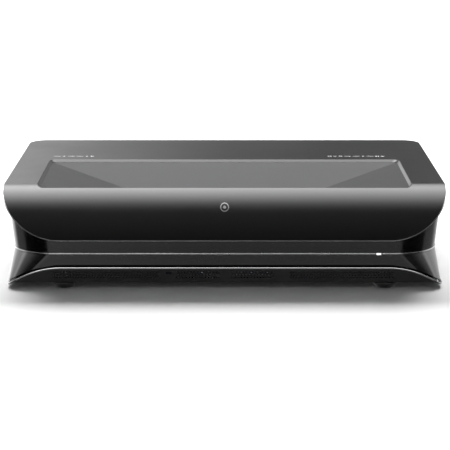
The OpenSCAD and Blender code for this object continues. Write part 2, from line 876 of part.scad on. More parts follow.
module wireless_board() {
    color([0.05, 0.28, 0.14]) {
        block(120, 160, -62, -34, foot_gap + wall, foot_gap + wall + 1.6);
        block(126, 146, -58, -40, foot_gap + wall + 1.5, foot_gap + wall + 4);
    }
}

base_z = 16;
base_t = 4;
base_top = base_z + base_t;

module engine_base() {
    color([0.62, 0.63, 0.65]) {
        block(-206, 64, -62, 100, base_z, base_top);
        for (x = [-190, -110, -20, 50], y = [-50, 88]) translate([x, y, foot_gap + wall])
            cylinder(r = 5, h = base_z - foot_gap - wall + 1);
        for (y = [-52, 34]) difference() {
            block(-20, 20, y, y + 10, base_top - 1, axis_z);
            translate([0, y - 1, axis_z]) rotate([-90, 0, 0]) cylinder(r = barrel_r, h = 12);
        }
        difference() {
            block(-70, -60, 60, 86, base_top - 1, axis_z);
            translate([-80, relay_y, axis_z]) rotate([0, 90, 0]) cylinder(r = 18, h = 30);
        }
        block(-12, 12, 62, 84, base_top - 1, axis_z - 15);
    }
}

module along_barrel(y) {
    translate([0, y, axis_z]) rotate([-90, 0, 0]) children();
}

module lens_barrel() {
    color([0.08, 0.08, 0.09]) difference() {
        union() {
            along_barrel(-60) cylinder(r = barrel_r, h = 110);
            along_barrel(44) cylinder(r = barrel_r + 4, h = 6);
        }
        along_barrel(-61) cylinder(r = cell_r + run_gap, h = 112);
        block(-2, 2, -14, 14, axis_z + cell_r - 2, axis_z + barrel_r + 1);
    }
}

module gear_outline(teeth, phase) {
    pitch_r = tooth_module * teeth / 2;
    root_r = pitch_r - 1.25 * tooth_module;
    tip_r = pitch_r + 0.8 * tooth_module;
    circle(r = root_r, $fn = 4 * teeth);
    for (i = [0 : teeth - 1]) rotate(phase + i * 360 / teeth)
        polygon([[root_r - 0.4, -0.75], [pitch_r, -0.62], [tip_r, -0.28],
            [tip_r, 0.28], [pitch_r, 0.62], [root_r - 0.4, 0.75]]);
}

module focus_ring() {
    color([0.75, 0.75, 0.78]) along_barrel(ring_y) difference() {
        linear_extrude(ring_w) gear_outline(ring_teeth, 0);
        translate([0, 0, -1]) cylinder(r = barrel_r + run_gap, h = ring_w + 2);
    }
}

module focus_pinion() {
    color([0.85, 0.80, 0.60]) translate([pinion_x, 0, 0]) along_barrel(ring_y) difference() {
        linear_extrude(ring_w) gear_outline(pinion_teeth, 180 / pinion_teeth);
        translate([0, 0, -1]) cylinder(r = 1.5 + run_gap, h = ring_w + 2);
    }
}

module focus_motor() {
    color([0.60, 0.60, 0.62]) {
        translate([pinion_x, 0, 0]) {
            along_barrel(ring_y + ring_w + 2) cylinder(r = 10, h = 24);
            along_barrel(ring_y) cylinder(r = 1.5, h = ring_w + 3);
        }
        block(pinion_x - 8, pinion_x + 8, 8, 22, base_top, axis_z - 6);
    }
}

module focus_cell() {
    color([0.12, 0.12, 0.13]) {
        along_barrel(-8) difference() {
            cylinder(r = cell_r, h = 16);
            translate([0, 0, -1]) cylinder(r = 20, h = 18);
        }
        translate([0, 0, axis_z + cell_r - 2]) cylinder(r = 1.7, h = barrel_r - cell_r + 1.4);
        along_barrel(-3) cylinder(r = 20, h = 6);
    }
}

// A lens with two bulging spherical faces, mid_t thick on its axis.
module lens(y, r, mid_t, curve_r) {
    along_barrel(y) rotate_extrude() intersection() {
        square([r, mid_t]);
        translate([0, curve_r]) circle(r = curve_r, $fn = 240);
        translate([0, mid_t - curve_r]) circle(r = curve_r, $fn = 240);
    }
}

module lens_elements() {
    color([0.55, 0.65, 0.70]) {
        lens(-58, cell_r + run_gap, 14, 60);
        lens(-38, cell_r + run_gap, 12, 70);
        lens(18, cell_r + run_gap, 12, 70);
        lens(34, cell_r + run_gap, 14, 60);
    }
}

mirror_r = 120;
mirror_t = 4;
mirror_tilt = 26;
mirror_y = front + 46;
mirror_half = 66;
mirror_z = 66;

module on_mirror() {
    translate([0, mirror_y, mirror_z]) rotate([mirror_tilt, 0, 0]) children();
}

module curved_mirror() {
    color([0.82, 0.84, 0.86]) intersection() {
        on_mirror() translate([0, mirror_r - mirror_t, 0]) difference() {
            sphere(r = mirror_r, $fn = 96);
            sphere(r = mirror_r - mirror_t, $fn = 96);
        }
        on_mirror() translate([-mirror_half, -mirror_t - 2, -28]) cube([2 * mirror_half, 34, 56]);
    }
}

module mirror_bracket() {
    color([0.15, 0.15, 0.16]) {
        for (s = [-1, 1]) {
            block(s * 69 - 3, s * 69 + 3, front + 27, front + 66, foot_gap + wall, 88);
            block(s * 72 - 8, s * 72 + 8, front + 40, front + 66, foot_gap + wall, foot_gap + wall + 3);
        }
        block(-66.5, 66.5, front + 40, front + 60, foot_gap + wall, foot_gap + wall + 3);
    }
}

module prism_block() {
    color([0.60, 0.72, 0.75]) difference() {
        block(-15, 15, 58, 88, axis_z - 15, axis_z + 15);
        translate([0, 73, axis_z]) rotate([0, 0, 45]) cube([60, 0.3, 40], center = true);
    }
}

module imager_board() {
    color([0.05, 0.28, 0.14]) {
        block(-30, 30, imager_y, imager_y + 1.6, axis_z - 24, axis_z + 24);
        block(-12, 12, imager_y - 3, imager_y + 0.1, axis_z - 9, axis_z + 9);
    }
}

module imager_heat_sink() {
    color([0.66, 0.67, 0.69]) {
        block(-28, 28, imager_y + 1.6, imager_y + 5, axis_z - 22, axis_z + 22);
        for (i = [0 : 11]) block(-28 + i * 4.95, -26.5 + i * 4.95, imager_y + 4.5, imager_y + 28,
            axis_z - 22, axis_z + 22);
    }
}

module relay_tube() {
    color([0.10, 0.10, 0.11]) {
        translate([-86, relay_y, axis_z]) rotate([0, 90, 0]) difference() {
            cylinder(r = 18, h = 68);
            translate([0, 0, -1]) cylinder(r = 15, h = 70);
        }
        for (x = [-82, -56, -26]) translate([x, relay_y, axis_z]) rotate([0, 90, 0]) cylinder(r = 15, h = 4);
        translate([-114, relay_y, axis_z]) rotate([0, 90, 0]) difference() {
            union() {
                cylinder(r = 9, h = 28);
                translate([0, 0, 22]) cylinder(r = 18, h = 6);
            }
            translate([-3, -4, -1]) cube([6, 8, 30]);
        }
    }
}

wheel_t = 1.5;
wheel_r = 30;

module diffuser_wheel() {
    color([0.80, 0.78, 0.60]) translate([wheel_x, relay_y, wheel_z]) rotate([0, 90, 0]) difference() {
        union() {
            cylinder(r = wheel_r, h = wheel_t);
            translate([0, 0, -3]) cylinder(r = 9, h = 4);
        }
        translate([0, 0, -4]) cylinder(r = 2 + run_gap, h = 8);
    }
}

module wheel_motor() {
    color([0.55, 0.55, 0.58]) {
        translate([wheel_x, relay_y, wheel_z]) rotate([0, -90, 0]) {
            translate([0, 0, 4]) cylinder(r = 11, h = 10);
            translate([0, 0, -wheel_t]) cylinder(r = 2, h = wheel_t + 5);
        }
        block(wheel_x - 13, wheel_x - 10, relay_y - 8, relay_y + 22, wheel_z - 6, wheel_z + 14);
        block(wheel_x - 13, wheel_x - 10, relay_y + 12, relay_y + 22, base_top, wheel_z);
    }
}

laser_x0 = -200;
laser_x1 = -144;

module laser_module() {
    color([0.72, 0.52, 0.30]) {
        block(laser_x0, laser_x1, 46, 100, base_top, 86);
        translate([laser_x1 - 1, relay_y, axis_z]) rotate([0, 90, 0]) cylinder(r = 5, h = 6);
    }
}

module laser_heat_sink() {
    color([0.68, 0.69, 0.71]) {
        for (i = [0 : 13]) block(-246 + i * 2.9, -245.3 + i * 2.9, 24, 102, 24, 106);
        for (y = [58, 73, 88], z = [40, 62]) translate([-247, y, z + 8]) rotate([0, 90, 0])
            cylinder(r = 3, h = 247 + laser_x0);
    }
}

fan_hole_r = fan_size / 2 - 2;
hub_r = 17;
blade_n = 7;
fan_plate_t = 2.5;

// Fan parts about their own axis, with the frame's near face at z = 0.
module fan_frame() {
    difference() {
        translate([-fan_size / 2, -fan_size / 2, 0]) cube([fan_size, fan_size, fan_depth]);
        translate([0, 0, -1]) cylinder(r = fan_hole_r, h = fan_depth + 2);
        for (sx = [-1, 1], sy = [-1, 1]) translate([sx * (fan_size / 2 - 4.5), sy * (fan_size / 2 - 4.5), -1])
            cylinder(r = 2.1, h = fan_depth + 2);
    }
    cylinder(r = 2, h = fan_depth - 4);
    intersection() {
        union() {
            cylinder(r = hub_r, h = fan_plate_t);
            for (a = [45, 135]) rotate([0, 0, a]) translate([-fan_size, -2, 0])
                cube([2 * fan_size, 4, fan_plate_t]);
        }
        cylinder(r = fan_hole_r + 4, h = fan_plate_t);
    }
}

module fan_rotor() {
    difference() {
        union() {
            translate([0, 0, 3.5]) cylinder(r = hub_r, h = fan_depth - 5.5);
            intersection() {
                for (i = [0 : blade_n - 1]) rotate([0, 0, i * 360 / blade_n])
                    translate([hub_r - 1, 0, fan_depth / 2 + 0.5]) rotate([40, 0, 0])
                        translate([0, -11, -0.6]) cube([fan_size, 22, 1.2]);
                translate([0, 0, 4]) cylinder(r = fan_hole_r - 1, h = fan_depth - 6);
            }
        }
        translate([0, 0, 1]) cylinder(r = 2 + run_gap, h = fan_depth - 4.5);
    }
}

module at_fan(s, y) {
    translate([s * (fan_x - fan_depth / 2), y, fan_z]) rotate([0, s * 90, 0]) children();
}

module fan_frames() {
    color([0.09, 0.09, 0.09]) {
        at_fan(-1, left_front_fan_y) fan_frame();
        at_fan(-1, left_rear_fan_y) fan_frame();
        at_fan(1, right_fan_y) fan_frame();
    }
}

module left_front_rotor() {
    color([0.12, 0.12, 0.12]) at_fan(-1, left_front_fan_y) fan_rotor();
}

module left_rear_rotor() {
    color([0.12, 0.12, 0.12]) at_fan(-1, left_rear_fan_y) fan_rotor();
}

module right_rotor() {
    color([0.12, 0.12, 0.12]) at_fan(1, right_fan_y) fan_rotor();
}

module speaker(s) {
    translate([s * speaker_x, 0, 0]) {
        difference() {
            block(-speaker_w / 2, speaker_w / 2, speaker_y0, speaker_y0 + speaker_d,
                speaker_z0, speaker_z0 + speaker_h);
            block(-speaker_w / 2 + 3, speaker_w / 2 - 3, speaker_y0 + 3, speaker_y0 + speaker_d - 3,
                speaker_z0 + 3, speaker_z0 + speaker_h - 3);
            for (dx = [-30, 30]) translate([dx, speaker_y0 + 5, driver_z]) rotate([90, 0, 0])
                cylinder(r = driver_r - 2, h = 8);
        }
        for (dx = [-30, 30]) translate([dx, speaker_y0 + 2.9, driver_z]) rotate([-90, 0, 0])
            cylinder(r1 = driver_r, r2 = 12, h = 16);
    }
}

module speakers() {
    color([0.13, 0.13, 0.14]) for (s = [-1, 1]) speaker(s);
}

upper_shell();
light_well();
window_gasket();
exit_window();
eye_sensors();
upper_trim();
front_upper_band();
waist_strip();
front_lower_band();
lower_rim();
chin_grille();
bottom_tray();
left_side_grille();
right_side_grille();
rear_panel();
port_plate();
front_emblem();
status_light();
remote_window();
power_button();
key_board();
front_left_stud();
front_left_pad();
front_right_stud();
front_right_pad();
rear_feet();
mount_inserts();
case_screws();
mainboard();
processor_heat_sink();
hdmi_sockets();
usb_sockets();
lan_socket();
optical_socket();
audio_jack();
mains_inlet();
power_supply();
wireless_board();
engine_base();
lens_barrel();
focus_ring();
focus_pinion();
focus_motor();
focus_cell();
lens_elements();
curved_mirror();
mirror_bracket();
prism_block();
imager_board();
imager_heat_sink();
relay_tube();
diffuser_wheel();
wheel_motor();
laser_module();
laser_heat_sink();
fan_frames();
left_front_rotor();
left_rear_rotor();
right_rotor();
speakers();
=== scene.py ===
"""Home projector: smooth covers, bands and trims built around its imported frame, a finish for every part,
and a studio with its floor, lights and camera."""

import math

import bpy
import numpy as np
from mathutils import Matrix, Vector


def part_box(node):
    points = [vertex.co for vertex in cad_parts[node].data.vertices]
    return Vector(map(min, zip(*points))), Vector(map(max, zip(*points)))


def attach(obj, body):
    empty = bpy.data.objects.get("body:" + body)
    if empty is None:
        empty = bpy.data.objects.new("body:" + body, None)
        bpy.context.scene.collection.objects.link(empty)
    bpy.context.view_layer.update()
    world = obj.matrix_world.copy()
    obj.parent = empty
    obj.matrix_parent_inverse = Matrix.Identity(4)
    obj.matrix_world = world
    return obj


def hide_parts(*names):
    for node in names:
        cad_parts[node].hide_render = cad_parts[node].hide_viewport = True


bl_info = {
    "name": "Home projector",
    "version": (1, 0, 0),
    "blender": (4, 5, 0),
    "location": "View3D > Sidebar > Projector",
    "description": "Builds the covers, bands, trims and finishes of an ultra short throw projector",
    "category": "Object",
}

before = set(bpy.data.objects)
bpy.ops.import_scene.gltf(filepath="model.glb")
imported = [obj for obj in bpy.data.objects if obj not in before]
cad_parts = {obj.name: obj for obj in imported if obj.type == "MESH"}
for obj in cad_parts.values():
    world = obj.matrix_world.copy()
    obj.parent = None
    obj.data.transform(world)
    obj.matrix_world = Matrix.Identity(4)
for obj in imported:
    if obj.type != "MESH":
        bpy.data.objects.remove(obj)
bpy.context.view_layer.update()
SHELL_LOW, SHELL_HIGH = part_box("upper_shell")
FRONT, REAR = SHELL_LOW.y, SHELL_HIGH.y
HALF_WIDTH, TOP = SHELL_HIGH.x, SHELL_HIGH.z
STRIP_LOW, STRIP_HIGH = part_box("waist_strip")
LIGHT_LOW, LIGHT_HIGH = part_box("status_light")
KEY_LOW, KEY_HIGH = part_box("power_button")
PANEL_REAR = STRIP_HIGH.y
BAND_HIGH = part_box("front_upper_band")[1]
BAND_REAR, BAND_TOP = BAND_HIGH.y, BAND_HIGH.z
RIM_LOW, RIM_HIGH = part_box("lower_rim")
WELL_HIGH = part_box("light_well")[1]
FAR_BELOW = np.array([0.0, 0.0, -10.0])
BODY_MIDDLE = np.array([0.0, 0.0, TOP / 2])
UPWARDS = np.array([0.0, 0.0, 1.0])

# Small sizes that the shapes need and a user would leave alone, in metres. Setbacks are from the nose.
KEY_MARGIN = 0.0015  # from the power key's hole to the square around it
CHAMFER_DROP = 0.0012  # least depth of the chamfer around the well, and the step in its corner radius
SKIRT_FOOT = 0.005  # height at which the lower band has its full spread
RIM_END = 0.003  # from the rim's foot to the side
MARK_REACH = 0.0026  # half the height of a printed mark
MARK_WIDE = 1.9  # how much wider than high a printed bar is
MARK_GAP = 0.0028  # between two marks
MARK_BACK = 0.218  # setback of the marks' line
MARK_PROUD = 0.00004  # how far the ink stands above the deck
WELL_WALL = 0.0022  # thickness of the well
RAMP_START = 0.0226  # setback of the ramp's front edge
RAMP_SLOPE = math.tan(math.radians(10.0))
VALLEY_BACK, VALLEY_HALF = 0.038, 0.08  # a point on the valley: its setback, and its way from the middle
UNDER_DECK = 0.0002  # gap between the deck's underside and the well's flange
FLANGE = 0.008  # width of the flange behind the well
NOSE_INSIDE = 0.12  # height of a point in front of the well's front wall
HOLE_EASE, HOLE_INSET = 0.0001, 0.0005  # how far the window's hole stands off it in X, and laps it in Y
HOLE_MARGIN, HOLE_FRONT = 0.003, 0.0015  # from the hole to the rectangle around it, and in front
HOLE_RADIUS = 0.009  # of the hole's corners
LEDGE = 0.004  # width of the well's front ledge
LEDGE_DROP, WALL_DROP = 0.0022, 0.003  # least depth of the ledge, and of the wall behind it, below the flange
TRIM_DEPTH, TRIM_GAP, TRIM_ROUND = 0.0026, 0.00025, 0.00035  # the trim's section
STRIP_DEPTH, STRIP_ROUND = 0.0016, 0.0004  # the waist strip's section
RIM_ROUND = 0.0007  # of the rim's section
BAND_WALL = 0.0026  # thickness of the gloss bands
BEHIND_SKIN, UNDER_SKIN = 0.0033, 0.0005  # how far the upper band's top stays inside the rolled front
BAND_STEPS, RIM_STEPS = (33, 25, 9), (15, 97, 5)  # columns in a corner, in front and along a side

# Finishes.
BLACK, WHITE = (0.0, 0.0, 0.0, 1.0), (1.0, 1.0, 1.0, 1.0)
DUST_COLOUR, TRACK_COLOUR, PAD_COLOUR = (0.4, 0.39, 0.37, 1), (0.03, 0.16, 0.06, 1), (0.55, 0.5, 0.38, 1)
MATT = {"Specular IOR Level": 0.12}
RIB_PITCH, RIB_DEPTH = 0.0026, 0.00006  # of the ribs across the ramp, in metres

# What glossy surfaces see, as pairs of a place and a level.
CLIMB_STOPS = (  # by degrees over the top, from ahead at 0 to behind at 180
    (-180, 0.04), (-90, 0.06), (-54, 0.1), (-34, 0.14), (-24, 0.18), (-13, 0.28), (-3, 0.2), (7, 0.3),
    (17, 0.55), (27, 1.15), (37, 1.9), (47, 3.4), (57, 4.8), (67, 6.4), (87, 8.6), (98, 10.0), (112, 10.0),
    (122, 3.0), (130, 0.8), (142, 0.15), (160, 0.05), (180, 0.04),
)
BIAS_STOPS = (  # change of that from left, 0, to right, 1
    (0.0, 1.5), (0.44, 1.5), (0.45, 1.4), (0.471, 1.15), (0.5, 0.95), (0.53, 0.95), (0.56, 1.05), (1.0, 1.1),
)
LEFT_STOPS = (  # panel behind, from left to right
    (0.0, 2.6), (0.28, 2.2), (0.4, 1.9), (0.43, 1.4), (0.4425, 1.0), (0.459, 0.63), (0.471, 0.48),
    (0.487, 0.26), (0.5, 0.11), (0.55, 0.0), (0.575, 0.02), (0.6, 0.7), (0.75, 0.7), (1.0, 0.3),
)
FLAG_STOPS = (  # dark flags, by degrees round from ahead
    (0, 1.0), (18, 1.0), (24, 0.04), (86, 0.04), (96, 0.5), (180, 0.5),
)
WALL_STOPS = (  # white walls, by degrees round from ahead
    (0, 0.0), (60, 0.0), (84, 0.12), (93, 1.3), (125, 1.4), (150, 0.7), (168, 0.1), (180, 0.1),
)

# Studio, in metres.
FLOOR_REACH, FLOOR_GLOW = 20.0, 0.6  # half the floor's side, and where its glow begins
KEY_PLACE, KEY_AIM = (-0.05, 1.35, 2.1), (0.0, -0.1, 0.1)
KEY_WIDTH, KEY_DEPTH = 3.0, 1.3
SHIFT = 0.4 / 450  # of the camera, as a share of the picture's width


def length(name, description, default):
    """A length property in metres."""
    return bpy.props.FloatProperty(
        name=name, description=description, default=default, min=0.0, precision=4, unit="LENGTH"
    )


def colour(name, description, default):
    """A linear colour property."""
    return bpy.props.FloatVectorProperty(
        name=name, description=description, default=default, min=0.0, max=1.0, size=3, subtype="COLOR"
    )


class ProjectorSizes(bpy.types.PropertyGroup):
    """Sizes of the visible covers, bands and trims."""

    roll_depth: length("Roll depth", "How far the deck's crease lies behind the nose", 0.027)
    roll_height: length("Roll height", "Height from the nose to the deck", 0.038)
    undercut_radius: length("Undercut radius", "Radius of the skin below the nose", 0.1)
    lip_height: length("Lip height", "Height of the lip along its level middle", 0.07)
    lip_top: length("Lip centre height", "Height of the centre of the lip's end curves", 0.14)
    lip_sweep: length("Lip sweep", "Width of the rising curve at each end of the lip", 0.074)
    edge_height: length("Edge height", "Height of the deck's side edge", 0.008)
    key_radius: length("Key hole radius", "Radius of the deck's hole around the power key", 0.0059)
    rear_radius: length("Rear radius", "Plan radius of the rear corners", 0.025)
    wall: length("Wall", "Thickness of the moulded covers", 0.0024)
    trim: length("Trim", "Width of the trim below the lip", 0.0016)
    well_half: length("Well half width", "Half the width of the well at the deck", 0.255)
    well_front: length("Well front", "Setback of the well's front edge from the nose", 0.0185)
    well_rear: length("Well rear", "Setback of the well's rear edge from the nose", 0.1926)
    side_chamfer: length("Side chamfer", "Width of the chamfer along the well's sides", 0.004)
    rear_chamfer: length("Rear chamfer", "Width of the chamfer along the well's rear", 0.0028)
    band_half: length("Band half width", "Half the width of the bands at their top", 0.299)
    band_back: length("Band setback", "Setback of the upper band's top from the nose", 0.012)
    waist_half: length("Waist half width", "Half the width of the body at the waist", 0.2945)
    waist_back: length("Waist setback", "Setback of the waist from the nose", 0.0155)
    waist_radius: length("Waist radius", "Plan radius of the body's front corners", 0.06)
    band_full: length("Band full height", "Height above which the upper band runs straight up", 0.097)
    skirt_back: length("Skirt setback", "Setback of the lower band's foot from the nose", 0.011)
    skirt_radius: length("Skirt radius", "Plan radius of the front corners at the foot", 0.014)
    strip_proud: length("Strip proud", "How far the waist strip stands out", 0.0008)
    rim_level: length("Rim height", "Height of the middle of the bright rim in front", 0.03)
    rim_flat: length("Rim flat", "Half the width over which the rim runs level", 0.225)
    rim_radius: length("Rim radius", "Plan radius of the rim's corners", 0.016)
    rim_width: length("Rim width", "Depth of the rim's section", 0.005)
    groove: length("Groove", "Gap between the rim and the lower band", 0.0026)


class ProjectorColours(bpy.types.PropertyGroup):
    """Colours of the main finishes."""

    cover: colour("Cover", "Satin top cover", (0.0034, 0.0034, 0.0035))
    ramp: colour("Ramp", "Ramp of the light well", (0.068, 0.068, 0.069))
    # Painted shade: a darker copy of the ramp's colour for the well's sloping sides.
    shaded_well_side: colour("Well sides", "Sloping sides of the light well", (0.032, 0.032, 0.0325))
    gloss: colour("Gloss", "Gloss bands", (0.003, 0.003, 0.0032))
    silver: colour("Silver", "Waist strip", (0.42, 0.42, 0.425))
    rim: colour("Rim", "Bright rim", (0.36, 0.36, 0.365))
    trim: colour("Trim", "Trim below the lip", (0.45, 0.45, 0.455))
    grille: colour("Grille", "Grilles and lower case", (0.024, 0.024, 0.0245))


class ProjectorStage(bpy.types.PropertyGroup):
    """Camera and light of the studio."""

    focal: bpy.props.FloatProperty(
        name="Focal length", description="Focal length of the camera", default=128.2, unit="CAMERA"
    )
    distance: length("Distance", "How far the camera stands in front of the projector", 2.2796)
    height: length("Height", "Height of the camera above the floor", 0.6069)
    tilt: bpy.props.FloatProperty(
        name="Tilt", description="Downward tilt of the camera", default=math.radians(13.7), subtype="ANGLE"
    )
    key: bpy.props.FloatProperty(
        name="Key", description="Power of the key light", default=165.0, unit="POWER"
    )
    clear: length("Clear floor", "Distance from the projector at which the floor is fully bright", 2.2)
    fill: bpy.props.FloatProperty(
        name="Fill", description="Strength of the even fill light", default=0.12
    )


def sizes():
    """The scene's sizes."""
    return bpy.context.scene.projector_sizes


# --- Grids of points and the meshes made from them ---


def blend_rows(first, last, count):
    """A grid whose rows run evenly from one line of points to another: first plus the share times the
    difference."""
    share = np.linspace(0.0, 1.0, count)[:, None, None]
    return first[None] * (1 - share) + last[None] * share


def oriented(points, away):
    """The grid with its columns turned round if its faces would look towards the point or points
    given."""
    across = points[:-1, 1:] - points[:-1, :-1]
    along = points[1:, :-1] - points[:-1, :-1]
    middle = (points[:-1, :-1] + points[1:, 1:]) / 2
    away = np.broadcast_to(away, points.shape)[:-1, :-1]
    facing = (np.cross(across, along) * (middle - away)).sum()
    return points if facing > 0 else points[:, ::-1]


def grid_faces(rows, columns):
    """Four-sided faces of a grid, as indices of its points counted row by row."""
    index = np.arange(rows * columns).reshape(rows, columns)
    corners = (index[:-1, :-1], index[:-1, 1:], index[1:, 1:], index[1:, :-1])
    return np.stack(corners, -1).reshape(-1, 4)


def merged(points):
    """The first point of each group that share a micrometre, and the group of every point."""
    _, first, group = np.unique(
        np.round(points * 1e6).astype(np.int64), axis=0, return_index=True, return_inverse=True
    )
    return first, group.reshape(-1)


def joined(grids):
    """Points and faces of several grids, with points under a micrometre apart joined and shrunken faces
    dropped."""
    starts = np.cumsum([0] + [g.shape[0] * g.shape[1] for g in grids[:-1]])
    points = np.concatenate([g.reshape(-1, 3) for g in grids])
    faces = np.concatenate([grid_faces(*g.shape[:2]) + s for g, s in zip(grids, starts)])
    first, group = merged(points)
    faces = group[faces]
    repeated = faces == np.roll(faces, -1, axis=1)
    count = repeated.sum(1)
    threes = faces[count == 1][~repeated[count == 1]].reshape(-1, 3)
    return points[first], faces[count == 0], threes


def keep_edges(mesh, sharp):
    """Keeps edges sharper than the angle, and the open edges around a surface, so that its rim doesn't
    shade it."""
    mesh.set_sharp_from_angle(angle=math.radians(sharp))
    of_corner = np.zeros(len(mesh.loops), int)
    mesh.loops.foreach_get("edge_index", of_corner)
    kept = np.zeros(len(mesh.edges), bool)
    mesh.edges.foreach_get("use_edge_sharp", kept)
    edge = np.bincount(of_corner, minlength=len(mesh.edges)) == 1
    mesh.edges.foreach_set("use_edge_sharp", kept | edge)


def make_object(name, points, faces, material):
    """One object at the origin from points and faces, with a material."""
    mesh = bpy.data.meshes.new(name)
    mesh.from_pydata(points.tolist(), [], faces)
    mesh.materials.append(material)
    made = bpy.data.objects.new(name, mesh)
    bpy.context.scene.collection.objects.link(made)
    return made


def make_piece(name, points, faces, material, sharp):
    """One smooth piece of the housing, with edges sharper than the angle kept."""
    piece = make_object(name, points, faces, material)
    piece.data.polygons.foreach_set("use_smooth", np.ones(len(piece.data.polygons), bool))
    keep_edges(piece.data, sharp)
    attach(piece, "housing")
    return piece


def grid_piece(name, grids, slot, material=None, thickness=0.0, sharp=16.0):
    """One piece from oriented grids, in its slot's own finish unless another is given."""
    points, fours, threes = joined(grids)
    faces = fours.tolist() + threes.tolist()
    piece = make_piece(name, points, faces, material or finish_named(slot), sharp)
    if thickness > 0:
        solid = piece.modifiers.new("Wall", "SOLIDIFY")
        solid.thickness = thickness
        solid.offset = -1.0
    return piece


def section_box(out_low, out_high, up_low, up_high, radius, steps=5):
    """A closed rectangle with round corners, each corner a quarter circle, as pairs of out and up."""
    turn = np.linspace(0.0, np.pi / 2, steps)
    parts = []
    corners = ((out_high, up_high), (out_low, up_high), (out_low, up_low), (out_high, up_low))
    for quarter, (x, y) in enumerate(corners):
        angle = turn + quarter * np.pi / 2
        middle_x = x - radius * np.sign(x - (out_low + out_high) / 2)
        middle_y = y - radius * np.sign(y - (up_low + up_high) / 2)
        parts.append(np.stack([middle_x + radius * np.cos(angle), middle_y + radius * np.sin(angle)], 1))
    loop = np.concatenate(parts)
    return np.concatenate([loop, loop[:1]])


def swept(path, out, up, section):
    """Grids of a closed section carried along a path: each point is the path plus out times the section's
    first number plus up times its second, and a fan closes each end."""
    tube = path[:, None] + out[:, None] * section[None, :, :1] + up[:, None] * section[None, :, 1:]
    centre = tube[:, :-1].mean(1)
    grids = [oriented(tube, centre[:, None])]
    for end, inner in ((0, 1), (-1, -2)):
        fan = np.stack([tube[end], np.broadcast_to(centre[end], tube[end].shape)])
        grids.append(oriented(fan, centre[inner]))
    return grids


def xyz(x, y, z):
    """Points from three arrays of one shape."""
    return np.stack(np.broadcast_arrays(x, y, z), -1).astype(float)


def arc_steps(count):
    """Angles of a quarter turn, in even steps."""
    return np.linspace(0.0, np.pi / 2, count)


# --- Shape of the top cover ---


def roll_radius(s):
    """Radius of the circle that is upright at the nose and meets the deck's crease."""
    return (s.roll_depth**2 + s.roll_height**2) / (2 * s.roll_depth)


def nose_height(s):
    """Height of the nose line, where the roll and the undercut meet upright."""
    return TOP - s.roll_height


def skin(s, run, inset=0.0):
    """Y and Z of the front skin at a signed arc length from the nose: above it the roll's circle, below
    it the undercut's larger circle, both centred level with the nose. Inset moves it inwards along its
    radius."""
    radius = np.where(run < 0, s.undercut_radius, roll_radius(s))
    angle = run / radius
    return (
        FRONT + radius - (radius - inset) * np.cos(angle),
        nose_height(s) + (radius - inset) * np.sin(angle),
    )


def run_at_height(s, z):
    """Arc length from the nose to a height: the circle's radius times the arcsine of rise over radius."""
    rise = z - nose_height(s)
    radius = np.where(rise < 0, s.undercut_radius, roll_radius(s))
    return radius * np.arcsin(rise / radius)


def run_at_setback(s, back):
    """Arc length from the nose up the roll to a setback: radius times the arccosine of one less back over
    radius."""
    return roll_radius(s) * np.arccos(1 - back / roll_radius(s))


def lip_height(s, x):
    """Height of the lip: level in the middle, then a curve that rises to the side edge, flatter than an
    ellipse: one less the square of the share, to the power of five eighths."""
    share = np.clip((np.abs(x) - (HALF_WIDTH - s.lip_sweep)) / s.lip_sweep, 0.0, 1.0)
    curve = s.lip_top - (s.lip_top - s.lip_height) * (1 - share**2) ** 0.625
    return np.minimum(curve, TOP - s.edge_height)


def corner_radius(s):
    """Plan radius of the well's corners, so that the crease runs past them."""
    return s.roll_depth - s.well_front


def corner_steps(s):
    """Places along the straight side of a well corner's square: the radius times the tangent of even
    angles."""
    return corner_radius(s) * np.tan(np.linspace(0.0, np.pi / 4, 7))


def columns(s):
    """X of the cover's columns, left to right, closest together where the rear corners and the lip
    curve."""
    corner = s.well_half - corner_radius(s)
    flat = HALF_WIDTH - s.lip_sweep
    right = np.concatenate(
        [
            np.linspace(0.0, flat, 9)[:-1],
            np.linspace(flat, corner, 9)[:-1],
            corner + corner_steps(s),
            np.linspace(s.well_half, HALF_WIDTH - s.rear_radius, 7)[1:-1],
            HALF_WIDTH - s.rear_radius + s.rear_radius * np.sin(arc_steps(25)),
        ]
    )
    return np.concatenate([-right[:0:-1], right])


def deck_rear(s, x):
    """Y of the deck's rear edge: straight, with a quarter circle at each corner."""
    over = np.clip(np.abs(x) - (HALF_WIDTH - s.rear_radius), 0.0, s.rear_radius)
    return REAR - s.rear_radius + np.sqrt(s.rear_radius**2 - over**2)


def deck_height(s, back):
    """Height of the top skin at a setback: the roll's circle up to the crease, and level behind it."""
    radius = roll_radius(s)
    drop = np.clip(radius - back, radius - s.roll_depth, radius)
    return nose_height(s) + np.sqrt(radius**2 - drop**2)


def opening_loop(half, low, high, radius, steps=13):
    """X and setback around a rectangle with round corners, clockwise from its front left side, closed."""
    turn = arc_steps(steps)
    straight = np.linspace(0.0, 1.0, 9)[1:-1]
    x = [
        -half + radius - radius * np.cos(turn),
        -half + radius + straight * 2 * (half - radius),
        half - radius + radius * np.sin(turn),
        np.full(len(straight), half),
        half - radius + radius * np.cos(turn),
        half - radius - straight * 2 * (half - radius),
        -half + radius - radius * np.sin(turn),
        np.full(len(straight), -half),
    ]
    back = [
        low + radius - radius * np.sin(turn),
        np.full(len(straight), low),
        low + radius - radius * np.cos(turn),
        low + radius + straight * (high - low - 2 * radius),
        high - radius + radius * np.sin(turn),
        np.full(len(straight), high),
        high - radius + radius * np.cos(turn),
        high - radius - straight * (high - low - 2 * radius),
    ]
    x, back = np.concatenate(x), np.concatenate(back)
    return np.append(x, x[0]), np.append(back, back[0])


